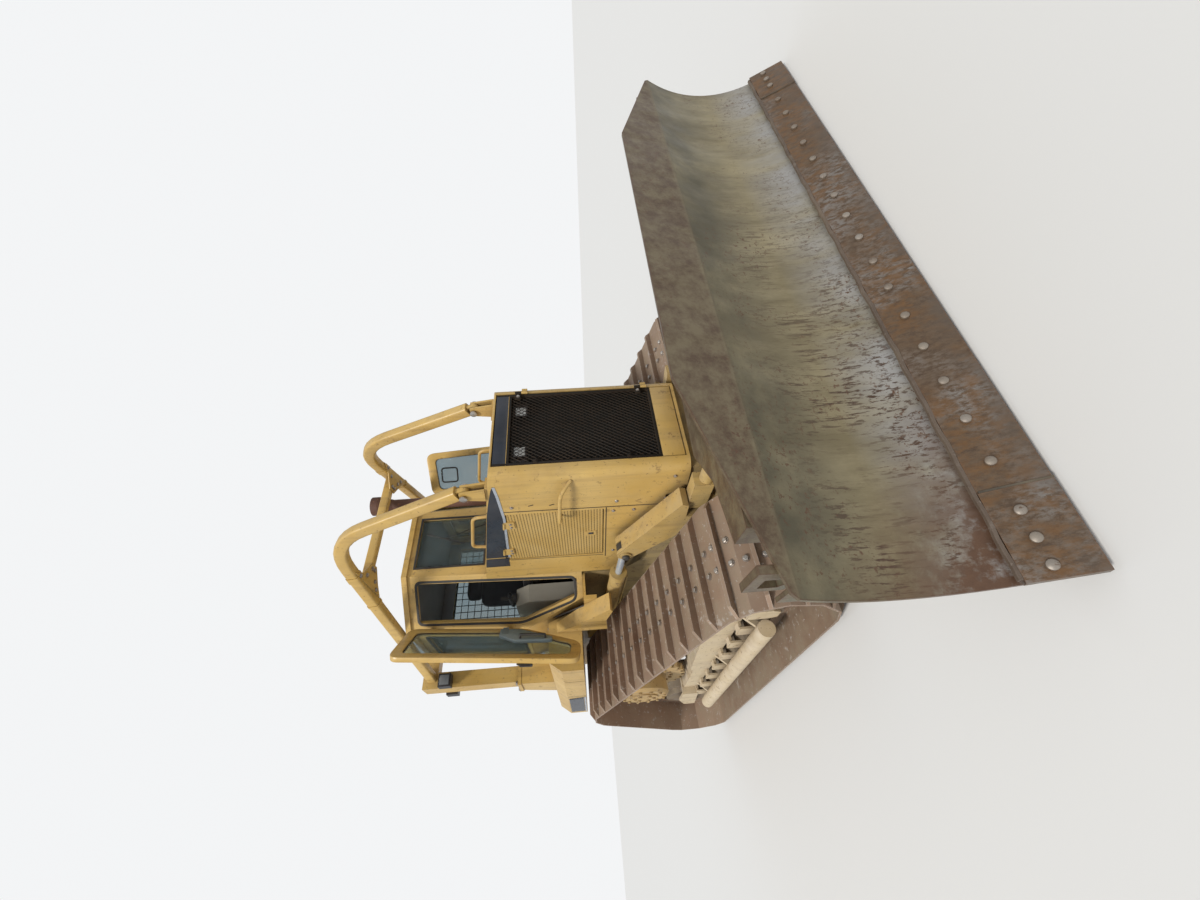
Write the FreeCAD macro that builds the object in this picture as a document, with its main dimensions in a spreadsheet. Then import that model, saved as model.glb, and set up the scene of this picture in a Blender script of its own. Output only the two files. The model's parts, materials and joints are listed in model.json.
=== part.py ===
import FreeCAD, Part
import math
import os
import re
import Sketcher

# Low-ground-pressure crawler bulldozer with a raised drive sprocket.
# Millimetres and degrees. The machine faces -Y, +Z is up, the ground is z = 0.
# Positions are taken from the machine's own middle plane; mid_x and mid_y then
# move every sub-part so that the origin is the centre of the footprint.

doc = FreeCAD.newDocument("bulldozer")

# Driving dimensions: name, size.
SIZES = [
    ("mid_x", 91.66), ("mid_y", 610.56),
    # tracks
    ("track_gauge", 2000), ("shoe_width", 760), ("shoe_plate", 14), ("shoe_count", 45),
    ("grouser_height", 48), ("grouser_thickness", 24), ("grouser_chamfer", 62),
    ("rail_height", 86), ("rail_width", 42), ("rail_offset", 74),
    ("idler_shoe_radius", 357), ("sprocket_shoe_radius", 500),
    ("front_idler_y", -1358), ("rear_idler_y", 1743), ("sprocket_y", 1050), ("sprocket_z", 985),
    ("idler_width", 200), ("idler_flange", 28), ("idler_flange_width", 84), ("idler_hub_width", 276),
    ("roller_count", 8), ("roller_radius", 95), ("roller_sides", 18), ("roller_ear_x", 148), ("roller_ear", 16), ("roller_first_y", -925), ("roller_pitch", 324),
    ("sprocket_teeth", 25), ("sprocket_width", 62), ("hub_radius", 250), ("hub_face_x", 1222),
    ("frame_width", 190), ("guard_tube_radius", 62), ("guard_tube_x", 1215), ("guard_tube_z", 265),
    # hull
    ("hull_half_width", 390), ("hull_front_y", -1660), ("hull_rear_y", 1700),
    ("hull_bottom_z", 400), ("hull_top_z", 960),
    # push frame and blade
    ("trunnion_y", 120), ("trunnion_z", 500), ("trunnion_radius", 62), ("trunnion_length", 203),
    ("arm_inner_x", 452), ("arm_width", 143), ("arm_height", 190),
    ("pivot_y", -2375), ("pivot_z", 500), ("nose_pin_radius", 60), ("nose_radius", 130), ("nose_height", 120), ("running_gap", 0.05),
    ("loose_gap", 0.3), ("working_gap", 6),
    ("blade_angle", -7.5), ("blade_reach", 700), ("blade_width", 3360), ("blade_sheet", 18),
    ("blade_bottom_z", 132), ("blade_crease_z", 899), ("blade_top_z", 1154), ("blade_hollow", 100),
    ("lip_lean", 58), ("lip_half_length", 880),
    ("edge_thickness", 25), ("edge_height", 230), ("edge_ground_gap", 10), ("end_bit_width", 290),
    ("upper_beam_z", 900), ("upper_beam_height", 100), ("tilt_pin_radius", 55),
    # lift cylinders
    ("lift_x", 535), ("lift_barrel_y", 420), ("lift_barrel_z", 1290), ("lift_eye_y", -850),
    ("lift_eye_z", 1185), ("lift_barrel_length", 857), ("lift_barrel_radius", 66),
    ("lift_rod_radius", 29), ("lift_eye_radius", 52), ("lift_eye_width", 56), ("lift_pin_radius", 30),
    # angle cylinders
    ("angle_x", 505), ("angle_barrel_y", -1460), ("angle_barrel_z", 700),
    ("angle_barrel_length", 780), ("angle_barrel_radius", 45), ("angle_pin_radius", 24), ("angle_rod_radius", 22),
    ("angle_eye_x", 580), ("angle_eye_reach", 360), ("angle_eye_radius", 40), ("angle_eye_height", 50),
    # tilt cylinder
    ("tilt_barrel_x", 450), ("tilt_z", 770), ("tilt_length", 500), ("tilt_barrel_length", 330),
    ("tilt_barrel_radius", 36), ("tilt_rod_radius", 18), ("tilt_back", 340),
    # engine enclosure
    ("hood_half_width", 413), ("hood_front_y", -1719), ("hood_rear_y", -437), ("hood_bottom_z", 763),
    ("hood_front_z", 2100), ("hood_rear_z", 2335), ("hood_corner", 86), ("hood_wall", 20), ("hood_cab_gap", 36),
    ("grille_half_width", 327), ("grille_bottom_z", 790), ("grille_top_z", 2070),
    ("grille_mesh_bottom_z", 943), ("grille_mesh_top_z", 1973), ("grille_thickness", 34),
    ("side_door_front_y", -1240), ("side_door_rear_y", -560), ("side_door_bottom_z", 1345),
    ("side_door_thickness", 18), ("side_hinge_out", 9), ("side_hinge_up", 16), ("panel_gap", 6),
    # cab
    ("cab_front_y", -190), ("cab_rear_y", 1010), ("cab_floor_z", 1530), ("cab_top_z", 3080),
    ("cab_front_half", 330), ("cab_side_half", 690), ("cab_side_y", 150), ("cab_flare", 92),
    ("cab_wall", 55), ("platform_thickness", 25), ("deck_half_width", 602),
    ("ledge_inner_x", 420), ("ledge_outer_x", 650), ("ledge_lip_x", 614), ("roof_thickness", 46), ("glass_thickness", 6),
    ("door_thickness", 46), ("door_open", 93), ("belt_z", 2060), ("door_frame", 62),
    # roll-over frame, sweeps, exhaust
    ("rops_x", 905), ("rops_y", 1095), ("rops_post_x", 150), ("rops_post_y", 190),
    ("rops_base_z", 2200), ("rops_top_z", 3190),
    ("sweep_x", 390), ("sweep_foot_y", -1526), ("sweep_foot_z", 2280), ("sweep_tube", 78), ("sweep_depth", 96),
    ("sweep_bend_y", -1084), ("sweep_bend_z", 3285), ("sweep_bend_radius", 210),
    ("sweep_bend_x", 441), ("sweep_rear_x", 640), ("sweep_rear_y", 900),
    ("exhaust_x", 290), ("exhaust_y", -420), ("exhaust_radius", 52), ("exhaust_wall", 4),
    ("exhaust_top_z", 3420),
    # rear
    ("tank_half_width", 588), ("tank_rear_y", 1960), ("tank_bottom_z", 1180), ("tank_top_z", 2010),
    ("fender_outer_x", 1130), ("fender_rear_y", 1960), ("fender_z", 1560), ("fender_front_y", 170),
    ("shaft_y", 860), ("shaft_z", 470), ("shaft_radius", 70), ("equaliser_y", 330),
    ("hitch_pin_radius", 25), ("hitch_z", 470), ("hitch_length", 260),
]
sheet = doc.addObject("Spreadsheet::Sheet", "Dims")
for row, (name, size) in enumerate(SIZES, 1):
    sheet.set("A%d" % row, name)
    sheet.set("B%d" % row, str(size))
    sheet.setAlias("B%d" % row, name)
doc.recompute()


class Dimensions:
    """The sheet's cells as numbers, for the shapes that are worked out in code."""


d = Dimensions()
for name, size in SIZES:
    setattr(d, name, float(sheet.get(name)))

X = FreeCAD.Vector(1, 0, 0)
Y = FreeCAD.Vector(0, 1, 0)
Z = FreeCAD.Vector(0, 0, 1)
sub_parts = []


def vec(x, y, z):
    return FreeCAD.Vector(x, y, z)


def linked(text):
    """The text with every dimension's name pointed at its cell of the sheet."""
    return re.sub(r"[a-z][a-z0-9_]*", lambda word: "Dims." + word.group(0) if hasattr(d, word.group(0))
                  else word.group(0), text)


def bind(item, path, text):
    item.setExpression(path, linked(text))


def box(name, x, y, z):
    """A block between two texts on each axis, bound to the sheet."""
    item = doc.addObject("Part::Box", name)
    for path, axis, (low, high) in (("Length", "x", x), ("Width", "y", y), ("Height", "z", z)):
        bind(item, path, "(%s) - (%s)" % (high, low))
        bind(item, "Placement.Base." + axis, low)
    return item


def rod(name, axis, low, high, radius, across):
    """A cylinder along X, Y or Z between two texts; across gives its other two coordinates."""
    item = doc.addObject("Part::Cylinder", name)
    turn = {"x": FreeCAD.Rotation(Z, X), "y": FreeCAD.Rotation(Z, Y), "z": FreeCAD.Rotation()}[axis]
    item.Placement = FreeCAD.Placement(vec(0, 0, 0), turn)
    bind(item, "Radius", radius)
    bind(item, "Height", "(%s) - (%s)" % (high, low))
    bind(item, "Placement.Base." + axis, low)
    for other, text in zip([a for a in "xyz" if a != axis], across):
        bind(item, "Placement.Base." + other, text)
    return item


def outline_sketch(body, name, plane, corners):
    """A closed sketch of straight lines, its corners bound to the sheet."""
    sketch = body.newObject("Sketcher::SketchObject", name)
    support = [face for face in body.Origin.OriginFeatures if face.Role == plane + "_Plane"][0]
    sketch.AttachmentSupport = [(support, "")]
    sketch.MapMode = "FlatFace"
    count = len(corners)
    ring = [vec(math.cos(2 * math.pi * i / count), math.sin(2 * math.pi * i / count), 0)
            for i in range(count)]
    for i in range(count):
        sketch.addGeometry(Part.LineSegment(ring[i], ring[(i + 1) % count]), False)
    for i in range(count):
        sketch.addConstraint(Sketcher.Constraint("Coincident", i, 2, (i + 1) % count, 1))
    for i, (across, up) in enumerate(corners):
        for kind, text in (("DistanceX", across), ("DistanceY", up)):
            index = sketch.addConstraint(Sketcher.Constraint(kind, -1, 1, i, 1, 1.0))
            bind(sketch, "Constraints[%d]" % index, text)
    return sketch


def padded(name, plane, corners, low, high):
    """A body padded from low to high along the plane's axis (X for YZ, Y for XZ, Z for XY)."""
    body = doc.addObject("PartDesign::Body", name)
    sketch = outline_sketch(body, name + "_outline", plane, corners)
    start = "-(%s)" % high if plane == "XZ" else low
    bind(sketch, "AttachmentOffset.Base.z", start)
    pad = body.newObject("PartDesign::Pad", name + "_pad")
    pad.Profile = sketch
    bind(pad, "Length", "(%s) - (%s)" % (high, low))
    return body


def turned(name, profile):
    """A body revolved about its own Z axis; the profile's corners are radius and height."""
    body = doc.addObject("PartDesign::Body", name)
    sketch = outline_sketch(body, name + "_outline", "XZ", profile)
    ring = body.newObject("PartDesign::Revolution", name + "_turn")
    ring.Profile = sketch
    ring.ReferenceAxis = (sketch, ["V_Axis"])
    ring.Angle = 360
    return body


def made(name, shape):
    item = doc.addObject("Part::Feature", name)
    item.Shape = shape
    return item


def fused(name, items):
    item = doc.addObject("Part::MultiFuse", name)
    item.Shapes = items
    item.Refine = True
    return item


def less(name, base, tool):
    item = doc.addObject("Part::Cut", name)
    item.Base = base
    item.Tool = tool
    return item


def mirrored(name, source):
    item = doc.addObject("Part::Mirroring", name)
    item.Source = source
    item.Normal = X
    return item


def rounded(name, base, radius, picked):
    """The base with the edges that picked(edge) chooses rounded off."""
    doc.recompute()
    item = doc.addObject("Part::Fillet", name)
    item.Base = base
    item.Edges = [(i, radius, radius) for i, edge in enumerate(base.Shape.Edges, 1) if picked(edge)]
    return item


def along(edge, axis):
    """True for a straight edge that runs along the axis."""
    if edge.Curve.TypeId != "Part::GeomLine":
        return False
    return abs(abs(edge.Curve.Direction.dot(axis)) - 1) < 1e-6


def finished(label, items, base=("0", "0", "0"), turn=None):
    """A sub-part: what it is made of, placed in the row's frame under its own label."""
    item = doc.addObject("Part::Compound", "part_" + label)
    item.Label = label
    item.Links = items
    if turn is not None:
        item.Placement = FreeCAD.Placement(vec(0, 0, 0), turn)
    for axis, text, shift in zip("xyz", base, ("mid_x", "mid_y", "0")):
        bind(item, "Placement.Base." + axis, "%s + (%s)" % (shift, text))
    sub_parts.append(item)
    return item


def polygon(points):
    return Part.Face(Part.makePolygon(points + points[:1]))


def prism(points, travel):
    return polygon(points).extrude(travel)


def wire_face(edges):
    return Part.Face(Part.Wire(edges))


def both_sides(shape):
    return [shape, shape.mirror(vec(0, 0, 0), X)]


# Track chains: one band over the front idler, the rear idler and the sprocket.
idler_z = d.idler_shoe_radius + d.grouser_height
wheels = [
    (d.front_idler_y, idler_z, d.idler_shoe_radius),
    (d.rear_idler_y, idler_z, d.idler_shoe_radius),
    (d.sprocket_y, d.sprocket_z, d.sprocket_shoe_radius),
]


def band_runs():
    """Straight runs between the wheels, as pairs of points, with the angle that each faces."""
    runs = []
    for i in range(3):
        y1, z1, r1 = wheels[i]
        y2, z2, r2 = wheels[(i + 1) % 3]
        gap = math.hypot(y2 - y1, z2 - z1)
        facing = math.atan2(z2 - z1, y2 - y1) - math.acos((r1 - r2) / gap)
        runs.append((facing, i, (i + 1) % 3))
    return runs


def on_wheel(i, facing, offset):
    y, z, r = wheels[i]
    return vec(0, y + (r + offset) * math.cos(facing), z + (r + offset) * math.sin(facing))


def band_places(count):
    """Evenly spaced places on the band: the point and the angle that it faces."""
    runs = band_runs()
    pieces = []
    for k, (facing, i, j) in enumerate(runs):
        start = on_wheel(i, facing, 0)
        end = on_wheel(j, facing, 0)
        pieces.append(("run", start, end, facing, (end - start).Length))
        following = runs[(k + 1) % 3][0]
        while following < facing:
            following += 2 * math.pi
        pieces.append(("arc", j, facing, following, wheels[j][2] * (following - facing)))
    total = sum(piece[4] for piece in pieces)
    places = []
    for n in range(count):
        left = total * (n + 0.5) / count
        for kind, a, b, c, length in pieces:
            if left > length:
                left -= length
                continue
            if kind == "run":
                places.append((a + (b - a) * (left / length), c))
            else:
                facing = b + (c - b) * left / length
                places.append((on_wheel(a, facing, 0), facing))
            break
    return places


def band_face(offset):
    """The band's outline at an offset from its outer face: each shoe is flat and meets the next at a corner."""
    places = band_places(int(d.shoe_count))
    corners = []
    for (here, a), (there, b) in zip(places, places[1:] + places[:1]):
        start = here + vec(0, math.cos(a), math.sin(a)) * offset
        end = there + vec(0, math.cos(b), math.sin(b)) * offset
        spread = math.sin(b - a)
        if abs(spread) < 1e-6:
            corners.append((start + end) * 0.5)
            continue
        reach_a = start.y * math.cos(a) + start.z * math.sin(a)
        reach_b = end.y * math.cos(b) + end.z * math.sin(b)
        corners.append(vec(0, (reach_a * math.sin(b) - reach_b * math.sin(a)) / spread,
                           (reach_b * math.cos(a) - reach_a * math.cos(b)) / spread))
    return polygon(corners)


def grouser(place, facing):
    """One shoe's bar: square to the band, its outer ends sloped down."""
    half = d.shoe_width / 2
    root = -d.shoe_plate / 2
    corners = [
        (-half, root), (half, root), (half, 0), (half - d.grouser_chamfer, d.grouser_height),
        (d.grouser_chamfer - half, d.grouser_height), (-half, 0),
    ]
    out = vec(0, math.cos(facing), math.sin(facing))
    travel = vec(0, -math.sin(facing), math.cos(facing))
    start = place - travel * (d.grouser_thickness / 2)
    return prism([start + X * across + out * up for across, up in corners],
                 travel * d.grouser_thickness)


def track(side):
    plate = band_face(0).cut(band_face(-d.shoe_plate))
    band = plate.extrude(X * d.shoe_width)
    band.translate(X * (-d.shoe_width / 2))
    rail = band_face(-d.shoe_plate / 2).cut(band_face(-d.shoe_plate - d.rail_height))
    rails = []
    for sign in (-1, 1):
        item = rail.extrude(X * d.rail_width)
        item.translate(X * (sign * d.rail_offset - d.rail_width / 2))
        rails.append(item)
    bars = [grouser(place, facing) for place, facing in band_places(int(d.shoe_count))]
    whole = band.multiFuse(rails + bars)
    whole.translate(X * (side * d.track_gauge / 2))
    return whole


for label, side in (("track_right", -1), ("track_left", 1)):
    finished(label, [made(label + "_loop", track(side))])

# Idlers, rollers and sprockets run between the link rails.
idler_rim = "idler_shoe_radius - shoe_plate - rail_height"
idler_body = turned("idler_profile", [
    ("0", "-idler_hub_width/2"), ("90", "-idler_hub_width/2"), ("90", "-idler_width/2"),
    (idler_rim + " - loose_gap", "-idler_width/2"), (idler_rim + " - loose_gap", "-idler_flange_width/2"),
    (idler_rim + " + idler_flange", "-idler_flange_width/2"), (idler_rim + " + idler_flange", "idler_flange_width/2"),
    (idler_rim + " - loose_gap", "idler_flange_width/2"), (idler_rim + " - loose_gap", "idler_width/2"),
    ("90", "idler_width/2"), ("90", "idler_hub_width/2"), ("0", "idler_hub_width/2"),
])
hub_body = turned("hub_profile", [
    ("0", "hull_half_width + loose_gap"), ("185", "hull_half_width + loose_gap"), ("185", "track_gauge/2 - 185"),
    ("230", "track_gauge/2 - 185"), ("hub_radius", "hub_face_x - 40"), ("hub_radius - 22", "hub_face_x - 12"),
    ("138", "hub_face_x - 12"), ("138", "hub_face_x"), ("0", "hub_face_x"),
])
doc.recompute()
half_gauge = d.track_gauge / 2
roller_z = d.grouser_height + d.shoe_plate + d.rail_height + d.roller_radius + d.loose_gap


def sprocket_ring():
    """A toothed ring whose tips stand between the rails."""
    root = d.sprocket_shoe_radius - d.shoe_plate - d.rail_height + 4
    tip = root + 38
    teeth = int(d.sprocket_teeth)
    step = 2 * math.pi / teeth
    points = []
    for n in range(teeth):
        for share, radius in ((-0.30, root), (-0.13, tip), (0.13, tip), (0.30, root)):
            angle = (n + share) * step
            points.append(vec(0, radius * math.cos(angle), radius * math.sin(angle)))
    ring = prism(points, X * d.sprocket_width)
    ring.translate(vec(-d.sprocket_width / 2, 0, 0))
    return ring


def sprocket(side):
    hub = hub_body.Shape.copy()
    hub.Placement = FreeCAD.Placement(vec(0, 0, 0), FreeCAD.Rotation(Z, X))
    ring = sprocket_ring()
    ring.translate(X * half_gauge)
    whole = hub.fuse(ring)
    whole.translate(vec(0, d.sprocket_y, d.sprocket_z))
    return whole if side > 0 else whole.mirror(vec(0, 0, 0), X)


def idler(x, y):
    shape = idler_body.Shape.copy()
    shape.Placement = FreeCAD.Placement(vec(x, y, idler_z), FreeCAD.Rotation(Z, X))
    return shape


def roller(x, y):
    """A track roller as a drum of flat sides, a corner down, between its two ears."""
    half = d.roller_ear_x - d.roller_ear / 2 - d.loose_gap
    points = []
    for k in range(int(d.roller_sides)):
        angle = 2 * math.pi * k / d.roller_sides
        points.append(vec(x - half, y + d.roller_radius * math.sin(angle),
                          roller_z - d.roller_radius * math.cos(angle)))
    return prism(points, X * (2 * half))


finished("sprockets", [made("sprocket_pair", Part.makeCompound([sprocket(-1), sprocket(1)]))])
idler_set = [idler(side * half_gauge, y) for side in (-1, 1) for y in (d.front_idler_y, d.rear_idler_y)]
roller_set = [roller(side * half_gauge, d.roller_first_y + n * d.roller_pitch)
              for side in (-1, 1) for n in range(int(d.roller_count))]
finished("idlers_rollers", [made("idler_set", Part.makeCompound(idler_set)),
                            made("roller_set", Part.makeCompound(roller_set))])

# Roller frames: a box with yokes that hold the idlers, roller brackets and an outer guard tube.
frame_profile = [
    (d.front_idler_y + 300, 375), (d.rear_idler_y - 300, 375), (d.rear_idler_y - 300, 500),
    (1380, 525), (730, 525), (600, 560), (-200, 600), (-700, 560), (d.front_idler_y + 300, 500),
]


def roller_frame():
    half = d.frame_width / 2
    parts = [prism([vec(-half, y, z) for y, z in frame_profile], X * d.frame_width)]
    cheek_x = d.idler_hub_width / 2 + d.loose_gap + 12
    for sign in (-1, 1):
        for idler_y, reach in ((d.front_idler_y, -1), (d.rear_idler_y, 1)):
            base_y = idler_y - reach * 420
            cheek = prism([vec(sign * cheek_x - 12, y, z) for y, z in (
                (base_y, 385), (base_y, 545), (idler_y - reach * 120, 545),
                (idler_y + reach * 90, idler_z + 60), (idler_y + reach * 90, idler_z - 60),
                (idler_y - reach * 120, 360))], X * 24)
            parts.append(cheek)
            bridge = Part.makeBox(cheek_x, 60, 150, vec(min(0, sign * cheek_x), min(base_y, base_y + reach * 60), 390))
            parts.append(bridge)
    for n in range(int(d.roller_count)):
        y = d.roller_first_y + n * d.roller_pitch
        for sign in (-1, 1):
            ear = prism([vec(sign * d.roller_ear_x - d.roller_ear / 2, y + dy, z) for dy, z in (
                (-70, 400), (70, 400), (70, roller_z), (46, roller_z - 58), (-46, roller_z - 58),
                (-70, roller_z))], X * d.roller_ear)
            parts.append(ear)
        parts.append(Part.makeBox(312, 100, 22, vec(-156, y - 50, 378)))
    whole = parts[0].multiFuse(parts[1:])
    whole.translate(X * half_gauge)
    return whole


def guard_tube():
    start = d.roller_first_y + 90
    length = (d.roller_count - 1) * d.roller_pitch + 60
    tube = Part.makeCylinder(d.guard_tube_radius, length, vec(d.guard_tube_x, start, d.guard_tube_z), Y)
    parts = [tube]
    for n in (0.5, 3.5, 6.5):
        y = d.roller_first_y + n * d.roller_pitch
        parts.append(prism([vec(x, y - 15, z) for x, z in (
            (half_gauge + 80, 420), (d.guard_tube_x, d.guard_tube_z + 10),
            (d.guard_tube_x - 30, d.guard_tube_z - 30), (half_gauge + 80, 380))], Y * 30))
    return parts


frame_shape = roller_frame()
frame_shape = frame_shape.multiFuse(guard_tube())
finished("roller_frames", [made("frame_pair", Part.makeCompound(both_sides(frame_shape)))])

# Hull between the tracks, with the cross shaft, the equaliser bar and the push-frame trunnions.
hull = padded("hull_block", "YZ", [
    ("hull_front_y", "hull_bottom_z + 70"), ("hull_front_y + 90", "hull_bottom_z"),
    ("hull_rear_y", "hull_bottom_z"), ("hull_rear_y", "tank_bottom_z - loose_gap"),
    ("cab_rear_y", "tank_bottom_z - loose_gap"),
    ("cab_rear_y", "cab_floor_z - platform_thickness - loose_gap"),
    ("cab_front_y + 40", "cab_floor_z - platform_thickness - loose_gap"),
    ("cab_front_y + 40", "tank_bottom_z"), ("hood_rear_y + 60", "hull_top_z"),
    ("hull_front_y + 260", "hull_top_z"), ("hull_front_y + 180", "hood_bottom_z - loose_gap"),
    ("hull_front_y", "hood_bottom_z - loose_gap"),
], "-hull_half_width", "hull_half_width")
frame_face = "track_gauge/2 - frame_width/2 - loose_gap"
cross_shaft = rod("cross_shaft", "x", "-(%s)" % frame_face, frame_face, "shaft_radius", ("shaft_y", "shaft_z"))
equaliser = box("equaliser", ("-(%s)" % frame_face, frame_face), ("equaliser_y - 60", "equaliser_y + 60"),
                ("430", "540"))
trunnions = rod("trunnions", "x", "-hull_half_width - trunnion_length", "hull_half_width + trunnion_length",
                "trunnion_radius", ("trunnion_y", "trunnion_z"))
lift_ear_inner = "lift_x - lift_eye_width/2 - 4"
lift_ear_outer = "lift_x + lift_eye_width/2 + 4"
lift_beam = box("lift_beam", ("-(%s) - 33" % lift_ear_outer, "%s + 33" % lift_ear_outer),
                ("lift_barrel_y - 40", "lift_barrel_y + 70"), ("lift_barrel_z - 150", "lift_barrel_z - 76"))
lift_ears = []
for low, high in (("%s - 33" % lift_ear_inner, lift_ear_inner), (lift_ear_outer, "%s + 33" % lift_ear_outer)):
    ear = padded("lift_ear", "YZ", [
        ("lift_barrel_y - 40", "lift_barrel_z - 140"), ("lift_barrel_y + 70", "lift_barrel_z - 140"),
        ("lift_barrel_y + 45", "lift_barrel_z + 20"), ("lift_barrel_y + 20", "lift_barrel_z + 45"),
        ("lift_barrel_y - 20", "lift_barrel_z + 45"), ("lift_barrel_y - 45", "lift_barrel_z + 20"),
    ], low, high)
    lift_ears += [ear, mirrored("lift_ear_mirrored", ear)]
lift_pin = rod("lift_pin", "x", "%s - 40" % lift_ear_inner, "%s + 40" % lift_ear_outer, "lift_pin_radius",
               ("lift_barrel_y", "lift_barrel_z"))
finished("main_frame", [fused("hull_joined", [
    hull, cross_shaft, equaliser, trunnions, lift_beam, lift_pin, mirrored("lift_pin_mirrored", lift_pin),
] + lift_ears)])

engine = box("engine", ("-270", "270"), ("-1330", "-480"), ("hull_top_z + loose_gap", "1900"))
radiator = box("radiator", ("-310", "310"), ("hull_front_y + 60", "hull_front_y + 160"), ("hood_bottom_z", "1960"))
finished("engine_block", [engine, radiator])

# Engine enclosure: a sheet shell with rounded front corners, open behind the grille door and
# the side doors, open below and at the rear.


def hood_solid(inset):
    """The enclosure's outer form, drawn in by a wall's thickness."""
    half = d.hood_half_width - inset
    front = d.hood_front_y + inset
    rear = d.cab_front_y - d.hood_cab_gap + (60 if inset else 0)
    r = d.hood_corner - inset
    low = d.hood_bottom_z - (60 if inset else 0)
    plan = [
        Part.LineSegment(vec(half, rear, low), vec(half, front + r, low)).toShape(),
        Part.Arc(vec(half, front + r, low), vec(half - r + r * math.sqrt(0.5), front + r - r * math.sqrt(0.5), low),
                 vec(half - r, front, low)).toShape(),
        Part.LineSegment(vec(half - r, front, low), vec(r - half, front, low)).toShape(),
        Part.Arc(vec(r - half, front, low), vec(r - half - r * math.sqrt(0.5), front + r - r * math.sqrt(0.5), low),
                 vec(-half, front + r, low)).toShape(),
        Part.LineSegment(vec(-half, front + r, low), vec(-half, rear, low)).toShape(),
        Part.LineSegment(vec(-half, rear, low), vec(half, rear, low)).toShape(),
    ]
    block = wire_face(plan).extrude(Z * 2000)
    side = [(d.hood_front_y - 10, low - 10), (rear + 10, low - 10), (rear + 10, d.hood_rear_z + 30 - inset),
            (d.hood_rear_y, d.hood_rear_z - inset), (d.hood_front_y + 40, d.hood_front_z - inset),
            (d.hood_front_y - 10, d.hood_front_z - 18 - inset)]
    return block.common(prism([vec(-900, y, z) for y, z in side], X * 1800))


def hood_top_at(y):
    """Height of the sloping top at a place along the machine."""
    share = (y - d.hood_front_y - 40) / (d.hood_rear_y - d.hood_front_y - 40)
    return d.hood_front_z + share * (d.hood_rear_z - d.hood_front_z)


door_drop = 80
side_door_outline = [
    (d.side_door_front_y, d.side_door_bottom_z), (d.side_door_rear_y, d.side_door_bottom_z),
    (d.side_door_rear_y, hood_top_at(d.side_door_rear_y) - door_drop - 90),
    (d.side_door_front_y, hood_top_at(d.side_door_front_y) - door_drop - 60),
]


def grown(outline, gap):
    """A convex outline about its own middle with every corner moved out by the gap both ways."""
    middle_y = sum(y for y, z in outline) / len(outline)
    middle_z = sum(z for y, z in outline) / len(outline)
    return [(y + math.copysign(gap, y - middle_y), z + math.copysign(gap, z - middle_z)) for y, z in outline]


def grille_hinges(on_door):
    """Half of each of the grille door's two hinges, in front of the enclosure's left edge."""
    x = d.grille_half_width + d.panel_gap / 2
    face = d.hood_front_y
    pieces = []
    for z in (1010, 1890):
        low = z + d.loose_gap / 2 if on_door else z - 45 - d.loose_gap / 2
        pieces.append(Part.makeCylinder(11, 45, vec(x, face - 11, low)))
        if on_door:
            pieces.append(Part.makeBox(62, 13, 40, vec(x - 60, face - 8, low + 3)))
        else:
            pieces.append(Part.makeBox(44, 24, 40, vec(x, face - 8, low + 3)))
    return pieces


def enclosure():
    shell = hood_solid(0).cut(hood_solid(d.hood_wall))
    half = d.grille_half_width + d.panel_gap
    window = Part.makeBox(2 * half, 200, d.grille_top_z - d.grille_bottom_z + 2 * d.panel_gap,
                          vec(-half, d.hood_front_y - 60, d.grille_bottom_z - d.panel_gap))
    shell = shell.cut(window)
    hole = prism([vec(-600, y, z) for y, z in grown(side_door_outline, d.panel_gap)], X * 1200)
    shell = shell.cut(hole)
    # the sides stop above the push-frame arms, behind the front panel
    skirt = prism([vec(-600, y, z) for y, z in (
        (-1480, d.hood_bottom_z - 20), (-1380, 900), (-700, 960), (-500, 1190), (0, 1190), (0, 600),
        (-1480, 600))], X * 1200)
    shell = shell.cut(skirt)
    shell = shell.multiFuse(grille_hinges(False))
    return shell.cut(Part.makeCylinder(d.exhaust_radius + d.loose_gap, 400,
                                      vec(d.exhaust_x, d.exhaust_y, d.hood_rear_z - 200)))


finished("enclosure", [made("enclosure_shell", enclosure())])


def side_door(side):
    """A pressed door with a dished perforated field, a frame, hinge plates and a latch."""
    x = d.hood_half_width - d.side_door_thickness
    leaf = prism([vec(x, y, z) for y, z in side_door_outline], X * d.side_door_thickness)
    field = prism([vec(d.hood_half_width - 5, y, z) for y, z in grown(side_door_outline, -48)], X * 40)
    leaf = leaf.cut(field)
    top_front = side_door_outline[3]
    top_rear = side_door_outline[2]
    edge = vec(0, top_rear[0] - top_front[0], top_rear[1] - top_front[1]).normalize()
    for share in (0.2, 0.8):
        y = top_front[0] + share * (top_rear[0] - top_front[0])
        z = top_front[1] + share * (top_rear[1] - top_front[1])
        on_edge = vec(d.hood_half_width + d.loose_gap, y, z)
        leaf = leaf.fuse(prism([on_edge + vec(0, -45, -62), on_edge + vec(0, 45, -62), on_edge + edge * 45 + Z * 10,
                                on_edge - edge * 45 + Z * 10], X * 7))
        hinge = vec(d.hood_half_width + d.side_hinge_out, y, z + d.side_hinge_up) - edge * 38
        leaf = leaf.fuse(Part.makeCylinder(8, 76, hinge, edge))
        leaf = leaf.fuse(Part.makeBox(d.side_door_thickness + 4, 90, 50, vec(x, y - 45, z - 62)))
    y = (side_door_outline[0][0] + side_door_outline[1][0]) / 2
    latch = Part.makeBox(9, 64, 84, vec(d.hood_half_width - 9, y - 32, d.side_door_bottom_z + 50))
    leaf = leaf.fuse(latch)
    leaf = leaf.cut(Part.makeBox(20, 30, 44, vec(d.hood_half_width - 4, y - 15, d.side_door_bottom_z + 70)))
    return leaf if side > 0 else leaf.mirror(vec(0, 0, 0), X)


for label, side in (("side_door_right", -1), ("side_door_left", 1)):
    finished(label, [made(label + "_leaf", side_door(side))])


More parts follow.
